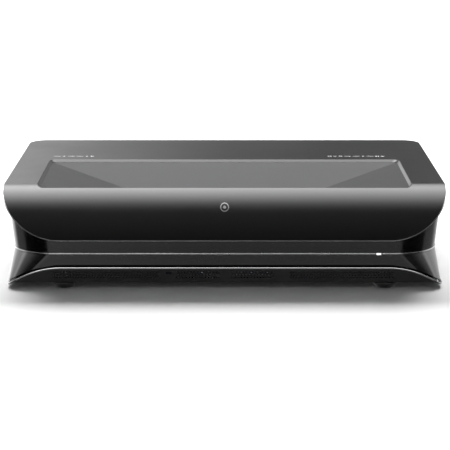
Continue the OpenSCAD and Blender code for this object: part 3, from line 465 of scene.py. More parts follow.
def corner_fill(s, side, front, steps=13):
    """Top skin between a round corner of the well and its square corner: rows run from the quarter circle
    to the two straight sides, which share out the same angle."""
    radius = corner_radius(s)
    turn = arc_steps(steps)
    inner_x = s.well_half - radius + radius * np.sin(turn)
    inner_back = radius - radius * np.cos(turn)
    reach = np.maximum(np.sin(turn), np.cos(turn))
    outer_x = s.well_half - radius + radius * np.sin(turn) / reach
    outer_back = radius - radius * np.cos(turn) / reach
    share = np.linspace(0.0, 1.0, 4)[:, None]
    x = side * (inner_x * (1 - share) + outer_x * share)
    back = inner_back * (1 - share) + outer_back * share
    back = s.well_front + back if front else s.well_rear - back
    return xyz(x, FRONT + back, deck_height(s, back))


def deck_sides(s, sides):
    """Deck from the crease to the well's rear corners on both sides. The right one leaves a square,
    filled by rows that run from the key's round hole out to the square: each way from the middle over its
    larger share."""
    low, high = FRONT + s.roll_depth, FRONT + s.well_rear - corner_radius(s)
    reach = s.key_radius + KEY_MARGIN
    middle = (KEY_LOW + KEY_HIGH) / 2
    turn = np.linspace(0.0, 2 * np.pi, 65)
    way = xyz(np.cos(turn), np.sin(turn), 0.0)
    square = way / np.abs(way).max(1)[:, None]
    centre = np.array([middle.x, middle.y, TOP])
    grids = [blend_rows(centre + s.key_radius * way, centre + reach * square, 3)]
    before, after = middle.y - reach, middle.y + reach
    key_columns = np.array([[s.well_half, middle.x - reach], [middle.x + reach, HALF_WIDTH]])
    for part in key_columns:
        grids.append(xyz(part, np.array([[before], [after]]), TOP))
    for part, cuts in zip(sides, (((low, before), (after, high)), ((low, high),))):
        for start, end in cuts:
            grids.append(xyz(part[None], np.linspace(start, end, 9)[:, None], TOP))
    return grids


def cover_grids(s):
    """Top cover as grids: the front skin from the lip to the well's front edge, the roll and deck beside the
    well, its filled corners, the rear deck and the edges all round."""
    x = columns(s)
    right = x[x >= s.well_half - 1e-9]
    sides = (right, -right[::-1])
    radius = corner_radius(s)
    low_run = run_at_height(s, lip_height(s, x))
    front_run = run_at_setback(s, s.well_front)
    share = np.linspace(0.0, 1.0, 34)[:, None]
    run = low_run[None] * (1 - share) + front_run * share
    y, z = skin(s, run)
    grids = [oriented(xyz(x[None], y, z), np.array([0.0, 0.5, nose_height(s)]))]
    edge = radius - corner_steps(s)[::-1]
    roll_run = run_at_setback(s, s.well_front + edge)
    roll_y, roll_z = skin(s, roll_run)
    last_back = s.well_rear - edge[::-1]
    for part in sides:
        grids.append(oriented(xyz(part[None], roll_y[:, None], roll_z[:, None]), FAR_BELOW))
        grids.append(oriented(xyz(part[None], FRONT + last_back[:, None], TOP), FAR_BELOW))
    grids += [oriented(g, FAR_BELOW) for g in deck_sides(s, sides)]
    for side in (-1, 1):
        grids.append(oriented(corner_fill(s, side, True), FAR_BELOW))
        grids.append(oriented(corner_fill(s, side, False), FAR_BELOW))
    start = np.full(len(x), FRONT + s.well_rear)
    deck = blend_rows(xyz(x, start, TOP), xyz(x, deck_rear(s, x), TOP), 12)
    grids.append(oriented(deck, FAR_BELOW))
    edge_z = TOP - s.edge_height
    rear_edge = deck[-1]
    foot = rear_edge * [1, 1, 0] + [0, 0, edge_z]
    grids.append(oriented(blend_rows(rear_edge, foot, 3), BODY_MIDDLE))
    for side in (-1, 1):
        front_y, front_z = skin(s, np.append(run[:, -1], roll_run[1:]))
        back_y = np.concatenate([FRONT + last_back, deck[1:, -1, 1]])
        line_y = np.concatenate([front_y, back_y])
        line_z = np.concatenate([front_z, np.full(len(back_y), TOP)])
        upper = xyz(side * HALF_WIDTH, line_y, line_z)
        foot = upper * [1, 1, 0] + [0, 0, edge_z]
        grids.append(oriented(blend_rows(upper, foot, 3), BODY_MIDDLE))
    return grids


def well_edge_grid(s):
    """Chamfer from the deck down into the well: a straight slope between the deck's opening and the
    smaller loop of the well, eased at the top and at the foot."""
    radius = corner_radius(s)
    outer_x, outer_back = opening_loop(s.well_half, s.well_front, s.well_rear, radius)
    inner_x, inner_back = opening_loop(
        s.well_half - s.side_chamfer, s.well_front, s.well_rear - s.rear_chamfer, radius - CHAMFER_DROP
    )
    outer_z = deck_height(s, outer_back)
    inner_z = np.minimum(WELL_HIGH.z, outer_z - CHAMFER_DROP)
    # Shares of the chamfer's width and depth, row by row from the deck down.
    across = np.array([0.0, 0.1, 0.22, 0.8, 0.93, 1.0])[:, None]
    down = np.array([0.0, 0.05, 0.16, 0.8, 0.95, 1.0])[:, None]
    x_row = outer_x + (inner_x - outer_x) * across
    back_row = outer_back + (inner_back - outer_back) * across
    z_row = outer_z + (inner_z - outer_z) * down
    return oriented(xyz(x_row, FRONT + back_row, z_row), FAR_BELOW)


# --- Shape of the bands ---


def outline_weights(corner_count, front_count, side_count):
    """Weights of a U-shaped plan outline from the left side round the front to the right side. Each
    column has the X sign, the corner circle's share in X and in Y, and the share along the straight
    side."""
    side = np.linspace(0.0, 1.0, side_count)[:-1]
    turn = arc_steps(corner_count)
    middle = np.linspace(-1.0, 1.0, front_count)[1:-1]
    beside, before = np.ones(len(side)), np.ones(len(middle))
    end = np.ones(len(side) + len(turn))
    sign = np.concatenate([-end, middle, end])
    in_x = np.concatenate([beside, np.cos(turn), before * 0, np.sin(turn), beside])
    in_y = np.concatenate([beside * 0, np.sin(turn), before, np.cos(turn), beside * 0])
    along = np.concatenate([side, np.ones(len(turn) * 2 + len(middle)), side[::-1]])
    return sign, in_x, in_y, along


def outline(weights, half, front_y, radius, rear_y):
    """X and Y of the outline: the corner's centre plus the radius times the circle's shares."""
    sign, in_x, in_y, along = weights
    x = sign * (half - radius) + np.sign(sign) * radius * in_x
    y = (1 - along) * rear_y + along * (front_y + radius) - radius * in_y
    return x, y


def band_level(s, z):
    """Half width, front Y and corner radius of the body at a height, each a straight blend from the waist
    up to the full height and from the waist down to the skirt."""
    waist = (STRIP_LOW.z + STRIP_HIGH.z) / 2
    up = np.clip((z - waist) / (s.band_full - waist), 0.0, 1.0)
    down = np.clip((waist - z) / (waist - SKIRT_FOOT), 0.0, 1.0)
    half = s.waist_half + (s.band_half - s.waist_half) * (up + down)
    back = s.waist_back + (s.band_back - s.waist_back) * up + (s.skirt_back - s.waist_back) * down
    return half, FRONT + back, s.waist_radius + (s.skirt_radius - s.waist_radius) * down


def rim_height(s, x):
    """Height of the middle of the rim: level in front, then falling with the square of the way to each
    end."""
    low = RIM_LOW.z + rim_half(s)
    share = np.clip((np.abs(x) - s.rim_flat) / (HALF_WIDTH - RIM_END - s.rim_flat), 0.0, 1.0)
    return s.rim_level - (s.rim_level - low) * share**2


def rim_half(s):
    """Half the height of the rim's section."""
    return RIM_HIGH.z - s.rim_level


def outline_path(weights, x, y, z):
    """The outline's points at a height, the way out from each, and the way up."""
    sign, in_x, in_y, _ = weights
    path = xyz(x, y, z)
    return path, xyz(np.sign(sign) * in_x, -in_y, 0.0), np.broadcast_to(UPWARDS, path.shape)


def band_grid(s, weights, low, high, rows):
    """A band between two heights that may change along the outline, with its rows evenly spaced."""
    z = low + (high - low) * np.linspace(0.0, 1.0, rows)[:, None]
    x, y = outline(weights, *band_level(s, z), BAND_REAR)
    return oriented(xyz(x, y, z), BODY_MIDDLE)


# --- Finishes ---


def group_tree(name, inputs, outputs):
    """A new shader node group with its sockets, its input and its output nodes."""
    tree = bpy.data.node_groups.new(name, "ShaderNodeTree")
    for socket, kind, default in inputs:
        made = tree.interface.new_socket(name=socket, in_out="INPUT", socket_type=kind)
        made.default_value = default
    for socket, kind in outputs:
        tree.interface.new_socket(name=socket, in_out="OUTPUT", socket_type=kind)
    return tree, tree.nodes.new("NodeGroupInput"), tree.nodes.new("NodeGroupOutput")


def node(tree, kind, settings=None, **values):
    """A node with its settings, and its inputs given by name with spaces as underscores, as values or as
    links."""
    made = tree.nodes.new(kind)
    for key, value in (settings or {}).items():
        setattr(made, key, value)
    for key, value in values.items():
        plug(tree, made.inputs[key.replace("_", " ")], value)
    return made


def plug(tree, socket, value):
    """Links an output to a socket, or sets the socket to a plain value."""
    if isinstance(value, bpy.types.NodeSocket):
        tree.links.new(value, socket)
    else:
        socket.default_value = value


def maths(tree, operation, *values):
    """Output of a math node."""
    made = tree.nodes.new("ShaderNodeMath")
    made.operation = operation
    for socket, value in zip(made.inputs, values):
        plug(tree, socket, value)
    return made.outputs[0]


def here(tree):
    """Object coordinates."""
    return tree.nodes.new("ShaderNodeTexCoord").outputs["Object"]


def noise(tree, scale, detail):
    """Noise on object coordinates."""
    return node(tree, "ShaderNodeTexNoise", Vector=here(tree), Scale=scale, Detail=detail).outputs["Fac"]


def ranged(tree, value, low, high, at_low=0.0, at_high=1.0, smooth=False):
    """A value that runs from at_low to at_high as another runs from low to high, and stays between
    them."""
    kind = {"interpolation_type": "SMOOTHSTEP" if smooth else "LINEAR"}
    made = node(tree, "ShaderNodeMapRange", kind, Value=value, From_Min=low, From_Max=high)
    plug(tree, made.inputs["To Min"], at_low)
    plug(tree, made.inputs["To Max"], at_high)
    return made.outputs["Result"]


def mixed(tree, share, first, second):
    """A colour that runs from the first to the second with the share."""
    mix = node(tree, "ShaderNodeMix", {"data_type": "RGBA"})
    for index, value in ((0, share), (6, first), (7, second)):
        plug(tree, mix.inputs[index], value)
    return mix.outputs[2]


def glow_grey(tree, level):
    """A neutral colour of a changing level."""
    return node(tree, "ShaderNodeCombineColor", Red=level, Green=level, Blue=level).outputs[0]


def rgba(value):
    """A colour with full alpha."""
    return (*value[:3], 1.0)


def tone_group():
    """Slow change of tone: two colours and two roughnesses mixed by soft noise, as moulding and handling
    leave."""
    tree, given, made = group_tree(
        "Tone",
        [
            ("First", "NodeSocketColor", (0.1, 0.1, 0.1, 1)),
            ("Second", "NodeSocketColor", (0.2, 0.2, 0.2, 1)),
            ("Scale", "NodeSocketFloat", 20.0),
            ("Rough low", "NodeSocketFloat", 0.3),
            ("Rough high", "NodeSocketFloat", 0.4),
        ],
        [("Colour", "NodeSocketColor"), ("Roughness", "NodeSocketFloat")],
    )
    mask = ranged(tree, noise(tree, given.outputs["Scale"], 4.0), 0.35, 0.65)
    tone = mixed(tree, mask, given.outputs["First"], given.outputs["Second"])
    rough = ranged(tree, mask, 0.0, 1.0, given.outputs["Rough low"], given.outputs["Rough high"])
    tree.links.new(tone, made.inputs["Colour"])
    tree.links.new(rough, made.inputs["Roughness"])
    return tree


def grain_group():
    """Fine grain of a moulded or blasted surface: the height of small noise on top of a coarser one."""
    tree, given, made = group_tree(
        "Grain",
        [("Scale", "NodeSocketFloat", 2000.0), ("Coarse", "NodeSocketFloat", 0.3)],
        [("Height", "NodeSocketFloat")],
    )
    fine = noise(tree, given.outputs["Scale"], 3.0)
    broad = noise(tree, maths(tree, "MULTIPLY", given.outputs["Scale"], 0.12), 2.0)
    coarse = maths(tree, "MULTIPLY", broad, given.outputs["Coarse"])
    tree.links.new(maths(tree, "ADD", fine, coarse), made.inputs["Height"])
    return tree


def brush_group():
    """Brushed lines: noise drawn out along one direction by stretching its coordinates."""
    tree, given, made = group_tree(
        "Brush", [("Stretch", "NodeSocketVector", (30.0, 30.0, 3000.0))], [("Height", "NodeSocketFloat")]
    )
    drawn = node(tree, "ShaderNodeVectorMath", {"operation": "MULTIPLY"})
    tree.links.new(here(tree), drawn.inputs[0])
    tree.links.new(given.outputs["Stretch"], drawn.inputs[1])
    lines = node(tree, "ShaderNodeTexNoise", Vector=drawn.outputs[0], Scale=1.0, Detail=5.0)
    tree.links.new(lines.outputs["Fac"], made.inputs["Height"])
    return tree


def dust_group():
    """Dust that settles on faces that look up: the upward part of the normal times speckled noise."""
    tree, given, made = group_tree(
        "Dust", [("Amount", "NodeSocketFloat", 0.1)], [("Mask", "NodeSocketFloat")]
    )
    normal = tree.nodes.new("ShaderNodeNewGeometry").outputs["Normal"]
    up = node(tree, "ShaderNodeSeparateXYZ", Vector=normal).outputs["Z"]
    level = ranged(tree, up, 0.6, 1.0)
    speckle = ranged(tree, noise(tree, 900.0, 4.0), 0.55, 0.8)
    amount = maths(tree, "MULTIPLY", given.outputs["Amount"], maths(tree, "MULTIPLY", level, speckle))
    tree.links.new(amount, made.inputs["Mask"])
    return tree


GROUPS = {"Tone": tone_group, "Grain": grain_group, "Brush": brush_group, "Dust": dust_group}


def shared(tree, name, **values):
    """A shared node group placed in a material, built the first time that it is asked for."""
    group = bpy.data.node_groups.get(name) or GROUPS[name]()
    placed_group = tree.nodes.new("ShaderNodeGroup")
    placed_group.node_tree = group
    for key, value in values.items():
        plug(tree, placed_group.inputs[key.replace("_", " ")], value)
    return placed_group


def finish(
    name, first, second, rough,
    metallic=0.0, tone=18.0, grain=2500.0, bump=0.04, dust=0.0, brush=None, sockets=None,
):
    """A material: two tones mixed slowly, dust on faces that look up, and fine grain or brushed lines as
    bump."""
    material = bpy.data.materials.new(name)
    material.use_nodes = True
    tree = material.node_tree
    shader = tree.nodes["Principled BSDF"]
    low, high = rough
    base = shared(
        tree, "Tone", First=rgba(first), Second=rgba(second), Scale=tone, Rough_low=low, Rough_high=high
    )
    out = base.outputs["Colour"]
    if dust > 0:
        mask = shared(tree, "Dust", Amount=dust).outputs["Mask"]
        out = mixed(tree, mask, out, DUST_COLOUR)
    tree.links.new(out, shader.inputs["Base Color"])
    tree.links.new(base.outputs["Roughness"], shader.inputs["Roughness"])
    shader.inputs["Metallic"].default_value = metallic
    if brush:
        height = shared(tree, "Brush", Stretch=brush).outputs["Height"]
    else:
        height = shared(tree, "Grain", Scale=grain).outputs["Height"]
    relief = node(tree, "ShaderNodeBump", Height=height, Strength=bump, Distance=0.001)
    tree.links.new(relief.outputs["Normal"], shader.inputs["Normal"])
    for key, value in (sockets or {}).items():
        shader.inputs[key].default_value = value
    return material


def add_ribs(material):
    """Adds fine ribs across the ramp: a sine along Y under the material's own grain."""
    tree = material.node_tree
    shader = tree.nodes["Principled BSDF"]
    along = node(tree, "ShaderNodeSeparateXYZ", Vector=here(tree)).outputs["Y"]
    wave = maths(tree, "SINE", maths(tree, "MULTIPLY", along, 2 * math.pi / RIB_PITCH))
    grain = shader.inputs["Normal"].links[0].from_socket
    bump = node(tree, "ShaderNodeBump", Height=wave, Strength=1.0, Distance=RIB_DEPTH, Normal=grain)
    tree.links.new(bump.outputs["Normal"], shader.inputs["Normal"])


def circuit_material():
    """Circuit board: green lacquer over tracks drawn by thin brick joints, with round tinned pads."""
    material = finish("circuit_board", (0.006, 0.06, 0.025), (0.01, 0.085, 0.035), (0.3, 0.42), grain=900.0)
    tree = material.node_tree
    shader = tree.nodes["Principled BSDF"]
    green = shader.inputs["Base Color"].links[0].from_socket
    bricks = node(
        tree,
        "ShaderNodeTexBrick",
        {"offset": 0.37, "squash": 0.8},
        Vector=here(tree),
        Scale=120.0,
        Mortar_Size=0.035,
        Mortar_Smooth=0.1,
        Color1=BLACK,
        Color2=BLACK,
        Mortar=WHITE,
    )
    pads = node(tree, "ShaderNodeTexVoronoi", Vector=here(tree), Scale=160.0)
    pad = maths(tree, "LESS_THAN", pads.outputs["Distance"], 0.18)
    tracks = mixed(tree, bricks.outputs["Color"], green, TRACK_COLOUR)
    tree.links.new(mixed(tree, pad, tracks, PAD_COLOUR), shader.inputs["Base Color"])
    tree.links.new(maths(tree, "MULTIPLY", pad, 0.8), shader.inputs["Metallic"])
    return material


def lamp_material():
    """Lit lens of the status light: white glow, a little dimmer towards its ends."""
    material = finish("light_lens", (0.9, 0.92, 0.95), (0.95, 0.97, 1.0), (0.2, 0.3), grain=3000.0, bump=0.02)
    tree = material.node_tree
    shader = tree.nodes["Principled BSDF"]
    middle = (LIGHT_LOW.x + LIGHT_HIGH.x) / 2
    along = node(tree, "ShaderNodeSeparateXYZ", Vector=here(tree)).outputs["X"]
    off = maths(tree, "ABSOLUTE", maths(tree, "SUBTRACT", along, middle))
    glow = ranged(tree, off, 0.0, LIGHT_HIGH.x - middle, 1.0, 0.75)
    tree.links.new(glow_grey(tree, glow), shader.inputs["Emission Color"])
    shader.inputs["Emission Strength"].default_value = 1.6
    return material


def scaled(value, share):
    """A colour with its channels multiplied by a share."""
    return tuple(channel * share for channel in value)


def grey(level):
    """A neutral colour."""
    return (level, level, level)


def make_finishes():
    """Every finish of the projector, by the name of its material slot. Each row gives its name, its two
    tones, its range of roughness, and what else differs from a plain finish."""
    c = bpy.context.scene.projector_colours
    window = {"Transmission Weight": 1.0, "IOR": 1.2}
    lens = {"Transmission Weight": 1.0, "IOR": 1.6, "Coat Weight": 0.5}
    metal = {"metallic": 1.0}
    rows = (
        ("cover_satin", c.cover, scaled(c.cover, 1.25), (0.30, 0.34),
         dict(tone=9.0, grain=6000.0, bump=0.03, dust=0.02)),
        ("well_satin", c.ramp, scaled(c.ramp, 1.04), (0.5, 0.56),
         dict(tone=12.0, grain=4000.0, bump=0.05, sockets=MATT)),
        ("seal_rubber", grey(0.008), grey(0.014), (0.7, 0.85), dict(grain=1800.0, bump=0.15, dust=0.1)),
        ("window_glass", (0.3, 0.34, 0.36), (0.36, 0.4, 0.42), (0.02, 0.05),
         dict(grain=60.0, bump=0.0, sockets=window)),
        ("dark_window", (0.004, 0.003, 0.006), (0.007, 0.004, 0.01), (0.05, 0.1),
         dict(grain=200.0, bump=0.01, sockets={"IOR": 1.3})),
        ("trim_metal", c.trim, scaled(c.trim, 1.1), (0.28, 0.36),
         dict(brush=(25.0, 25.0, 4000.0), bump=0.05) | metal),
        ("gloss_black", c.gloss, scaled(c.gloss, 1.5), (0.07, 0.12),
         dict(tone=6.0, grain=180.0, bump=0.015, sockets={"IOR": 2.0})),
        ("silver_strip", c.silver, scaled(c.silver, 0.94), (0.2, 0.28),
         dict(brush=(20.0, 20.0, 5000.0), bump=0.06) | metal),
        ("bright_rim", c.rim, scaled(c.rim, 0.92), (0.16, 0.22),
         dict(brush=(16.0, 16.0, 4000.0), bump=0.03) | metal),
        ("grille_black", c.grille, scaled(c.grille, 1.4), (0.42, 0.5),
         dict(tone=14.0, grain=3500.0, bump=0.08, dust=0.05)),
        ("case_black", scaled(c.grille, 0.8), c.grille, (0.5, 0.6),
         dict(tone=16.0, grain=1600.0, bump=0.2, dust=0.05)),
        ("plated_steel", (0.55, 0.55, 0.56), (0.62, 0.62, 0.6), (0.25, 0.4),
         dict(tone=60.0, grain=1500.0, bump=0.05) | metal),
        ("foot_rubber", grey(0.012), grey(0.02), (0.65, 0.8), dict(grain=1500.0, bump=0.2, dust=0.1)),
        ("insert_brass", (0.62, 0.44, 0.17), (0.7, 0.52, 0.24), (0.25, 0.38),
         dict(tone=80.0, brush=(3000.0, 40.0, 40.0), bump=0.06) | metal),
        ("heat_sink_metal", (0.6, 0.61, 0.62), (0.68, 0.69, 0.7), (0.35, 0.45),
         dict(brush=(40.0, 40.0, 1800.0), bump=0.12) | metal),
        ("socket_metal", (0.6, 0.6, 0.61), (0.68, 0.68, 0.69), (0.22, 0.32),
         dict(tone=90.0, brush=(40.0, 2500.0, 40.0), bump=0.05) | metal),
        ("socket_plastic", grey(0.01), grey(0.018), (0.4, 0.5), dict(grain=2200.0, bump=0.1)),
        ("cast_metal", (0.36, 0.36, 0.37), (0.46, 0.46, 0.47), (0.45, 0.6),
         dict(metallic=0.9, tone=45.0, grain=700.0, bump=0.35)),
        ("barrel_black", (0.012, 0.012, 0.013), (0.02, 0.02, 0.021), (0.4, 0.5),
         dict(metallic=0.4, brush=(60.0, 1500.0, 60.0), bump=0.1)),
        ("ring_metal", (0.5, 0.5, 0.52), (0.6, 0.6, 0.62), (0.3, 0.4),
         dict(tone=70.0, grain=1800.0, bump=0.08) | metal),
        ("optical_glass", (0.85, 0.93, 0.92), (0.9, 0.96, 0.95), (0.01, 0.03),
         dict(grain=50.0, bump=0.0, sockets=lens)),
        ("mirror_coat", (0.88, 0.9, 0.92), (0.92, 0.93, 0.93), (0.02, 0.05),
         dict(tone=6.0, grain=100.0, bump=0.0) | metal),
        ("laser_metal", (0.45, 0.2, 0.1), (0.55, 0.27, 0.14), (0.3, 0.42),
         dict(tone=35.0, brush=(1500.0, 40.0, 40.0), bump=0.1) | metal),
        ("fan_plastic", (0.014, 0.014, 0.015), (0.022, 0.022, 0.023), (0.38, 0.5),
         dict(tone=25.0, grain=1400.0, bump=0.12, dust=0.15)),
    )
    made = {name: finish(name, first, second, rough, **more) for name, first, second, rough, more in rows}
    add_ribs(made["well_satin"])
    return made | {"light_lens": lamp_material(), "circuit_board": circuit_material()}


FINISHES = {}


def finish_named(slot):
    """The finish of a material slot, made once with all the others."""
    if not FINISHES:
        FINISHES.update(make_finishes())
    return FINISHES[slot]


def refinish(*names, material=None):
    """Gives the material slots of CAD nodes one material, or the finish that each packed material
    names."""
    for name in names:
        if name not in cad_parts:
            raise RuntimeError(f"the frame has no node {name}")
        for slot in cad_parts[name].material_slots:
            slot.material = material or finish_named(slot.material.name.split(".")[0])


# --- Operators, one for each piece or group of like pieces ---

# CAD nodes that keep their mesh and get a better finish.
CASE_NODES = (
    "chin_grille", "left_side_grille", "right_side_grille", "bottom_tray", "remote_window", "power_button",
    "key_board", "front_left_stud", "front_left_pad", "front_right_stud", "front_right_pad", "rear_feet",
    "mount_inserts", "case_screws",
)
PORT_NODES = (
    "port_plate", "hdmi_sockets", "usb_sockets", "lan_socket", "optical_socket", "audio_jack", "mains_inlet",
)
INNER_NODES = (
    "mainboard", "processor_heat_sink", "power_supply", "wireless_board", "engine_base", "lens_barrel",
    "focus_ring", "focus_pinion", "focus_motor", "focus_cell", "lens_elements", "curved_mirror",
    "mirror_bracket", "prism_block", "imager_board", "imager_heat_sink", "relay_tube", "diffuser_wheel",
    "wheel_motor", "laser_module", "laser_heat_sink", "fan_frames", "left_front_rotor", "left_rear_rotor",
    "right_rotor", "speakers",
)


class PROJECTOR_OT_top_cover(bpy.types.Operator):
    """Top cover: rolled front, undercut lip, deck, edges and the chamfered opening of the light well"""

    bl_idname = "projector.top_cover"
    bl_label = "Top cover"

    def execute(self, context):
        s = sizes()
        cover = grid_piece("top_cover", cover_grids(s), "cover_satin", thickness=s.wall)
        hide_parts("upper_shell")
        grid_piece("well_edge", [well_edge_grid(s)], "cover_satin", sharp=40.0)
        return {"FINISHED"}


def mark_loop(kind, turn):
    """Outer and inner outlines of a printed mark of unit reach: a ring, a bar, a dot or a diamond, each a
    scaled circle or a circle raised to a corner."""
    circle = np.stack([np.cos(turn), np.sin(turn)], 1)
    square = circle / np.abs(circle).max(1)[:, None]
    diamond = circle / np.abs(circle).sum(1)[:, None]
    shapes = {
        "ring": (circle, circle * 0.66),
        "dot": (circle * 0.6, circle * 0.001),
        "bar": (square * [MARK_WIDE, 0.26], square * [0.002, 0.0003]),
        "box": (square, square * 0.7),
        "diamond": (diamond, diamond * 0.6),
    }
    return shapes[kind]


class PROJECTOR_OT_printed_marks(bpy.types.Operator):
    """Rows of small generic printed marks on the rear deck"""

    bl_idname = "projector.printed_marks"
    bl_label = "Printed marks"

    def execute(self, context):
        rows = (
            (-0.252, ("bar", "dot", "bar", "bar", "dot", "ring")),
            (0.1525, ("box", "diamond", "ring", "bar", "bar", "dot", "bar", "box", "ring")),
        )
        turn = np.linspace(0.0, 2 * np.pi, 33)
        grids = []
        for start, kinds in rows:
            x = start
            for kind in kinds:
                half = MARK_REACH * (MARK_WIDE if kind == "bar" else 1.0)
                x += half
                outer, inner = mark_loop(kind, turn)
                ring = np.stack([inner, outer]) * MARK_REACH + [x, FRONT + MARK_BACK]
                grids.append(oriented(xyz(ring[..., 0], ring[..., 1], TOP + MARK_PROUD), FAR_BELOW))
                x += half + MARK_GAP
        ink = finish("mark_ink", grey(0.72), grey(0.8), (0.6, 0.7), tone=90.0, grain=3000.0)
        grid_piece("printed_marks", grids, "trim_metal", ink)
        return {"FINISHED"}


class PROJECTOR_OT_light_well(bpy.types.Operator):
    """Light well: a ramp that rises to the rear, two sides that slope down to it, and the flange around
    them"""

    bl_idname = "projector.light_well"
    bl_label = "Light well"

    def execute(self, context):
        s = sizes()
        half = s.well_half - s.side_chamfer
        front, rear = FRONT + RAMP_START, FRONT + s.well_rear - s.rear_chamfer
        high = WELL_HIGH.z - UNDER_DECK
        low = high - (rear - (FRONT + VALLEY_BACK)) * RAMP_SLOPE
        side_slope = (high - low) / (half - VALLEY_HALF)

        def ramp(x, y):
            """Points on the ramp: the rear's height less the slope times the way to the rear."""
            return xyz(x, y, high - (rear - y) * RAMP_SLOPE)

        def valley(y):
            """X at which the ramp and the right side are equally high."""
            return half - (rear - y) * RAMP_SLOPE / side_slope

        window_low, window_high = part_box("window_gasket")
        hole_x = window_high.x + HOLE_EASE
        hole_y = (window_low.y + HOLE_INSET, window_high.y - HOLE_INSET)
        frame_x, frame_y = hole_x + HOLE_MARGIN, (hole_y[0] - HOLE_FRONT, hole_y[1] + HOLE_MARGIN)
        grids = []
        share = np.linspace(-1.0, 1.0, 21)
        for start, end, count in ((front, frame_y[0], 4), (frame_y[1], rear, 24)):
            y = np.linspace(start, end, count)[:, None]
            grids.append(ramp(valley(y) * share, y))
        y = np.linspace(*frame_y, 9)[:, None]
        part = np.linspace(0.0, 1.0, 4)
        for side in (-1, 1):
            grids.append(ramp(side * (frame_x + (valley(y) - frame_x) * part), y))
        hole = opening_loop(hole_x, *hole_y, HOLE_RADIUS)
        around = opening_loop(frame_x, *frame_y, 1e-5)
        grids.append(blend_rows(ramp(*hole), ramp(*around), 3))
        grids = [oriented(grid, FAR_BELOW) for grid in grids]
        well = grid_piece("light_ramp", grids, "well_satin", thickness=WELL_WALL)
        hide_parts("light_well")

        sides = []
        y = np.linspace(front, rear, 30)[:, None]
        flange_y = np.array([front, rear + FLANGE])[:, None]
        flange_x = np.array([half, WELL_HIGH.x])
        for side in (-1, 1):
            x = valley(y) + (half - valley(y)) * np.linspace(0.0, 1.0, 10)
            sides.append(xyz(side * x, y, high - (half - x) * side_slope))
            sides.append(xyz(side * flange_x, flange_y, high))
        sides.append(xyz(np.linspace(-half, half, 5), np.array([rear, rear + FLANGE])[:, None], high))
        wall_x = np.linspace(-half, half, 61)
        foot = np.maximum(high - (rear - front) * RAMP_SLOPE, high - (half - np.abs(wall_x)) * side_slope)
        wall_top = np.maximum(foot, high - WALL_DROP)
        ledge = xyz(wall_x, front - LEDGE, np.minimum(wall_top, high - LEDGE_DROP))
        sides.append(blend_rows(ledge, xyz(wall_x, front, wall_top), 2))
        wall = blend_rows(xyz(wall_x, front, foot), xyz(wall_x, front, wall_top), 4)
        sides = [oriented(grid, FAR_BELOW) for grid in sides]
        sides.append(oriented(wall, np.array([0.0, FRONT, NOSE_INSIDE])))
        # Painted shade: the sloping sides get a darker copy of the ramp's matt finish, in the same slot, so
        # that they read darker than the ramp.
        side_shade_tint = context.scene.projector_colours.shaded_well_side
        plain = finish("shaded_well_side", side_shade_tint, side_shade_tint, (0.5, 0.56), tone=10.0, grain=4000.0, bump=0.05, sockets=MATT)
        grid_piece("well_sides", sides, "well_satin", plain, WELL_WALL)
        refinish("window_gasket", "exit_window")
        refinish("eye_sensors", material=finish_named("dark_window"))
        return {"FINISHED"}


class PROJECTOR_OT_trim(bpy.types.Operator):
    """Trim below the lip and along the deck's side and rear edges"""

    bl_idname = "projector.trim"
    bl_label = "Lip trim"

    def execute(self, context):
        s = sizes()
        sweep = HALF_WIDTH - s.lip_sweep + s.lip_sweep * np.sin(arc_steps(40))
        level = np.linspace(0.0, sweep[0], 12)[:-1]
        x = np.concatenate([-sweep[::-1], -level[:0:-1], level, sweep])
        run = run_at_height(s, lip_height(s, x))
        y, z = skin(s, run)
        path = xyz(x, y, z)
        inner_y, inner_z = skin(s, run, 1.0)
        out = xyz(np.zeros(len(x)), y - inner_y, z - inner_z)
        along = np.gradient(path, axis=0)
        along /= np.linalg.norm(along, axis=1)[:, None]
        down = np.cross(along, out)
        section = section_box(-TRIM_DEPTH, 0.0, TRIM_GAP, s.trim, TRIM_ROUND)
        grids = swept(path, out, down, section)
        for grid in grids:
            np.clip(grid[..., 0], -HALF_WIDTH, HALF_WIDTH, out=grid[..., 0])
            np.clip(grid[..., 2], 0.0, TOP - s.edge_height, out=grid[..., 2])
        edge_z = TOP - s.edge_height
        start_y = float(skin(s, run_at_height(s, np.array(edge_z)))[0])
        turn = arc_steps(14)
        radius = s.rear_radius
        way = np.stack([np.cos(turn), np.sin(turn)], 1)
        corner = [HALF_WIDTH - radius, REAR - radius] + radius * way
        left = np.array([-1.0, 1.0])
        line = np.concatenate([[[HALF_WIDTH, start_y], [HALF_WIDTH, 0.0]], corner])
        line = np.concatenate([line, line[::-1] * left])
        normal = np.concatenate([[[1.0, 0.0], [1.0, 0.0]], way])
        normal = np.concatenate([normal, normal[::-1] * left])
        edge = xyz(line[:, 0], line[:, 1], edge_z)
        edge_out = xyz(normal[:, 0], normal[:, 1], 0.0)
        edge_down = np.broadcast_to(-UPWARDS, edge.shape)
        grids += swept(edge, edge_out, edge_down, section)
        trim = grid_piece("lip_trim", grids, "trim_metal", sharp=30.0)
        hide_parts("upper_trim")
        dark, light = (0.26, 0.26, 0.265), (0.3, 0.3, 0.305)
        emblem = finish("emblem_grey", dark, light, (0.4, 0.5), metallic=1.0, grain=3000.0)
        refinish("front_emblem", material=emblem)
        return {"FINISHED"}


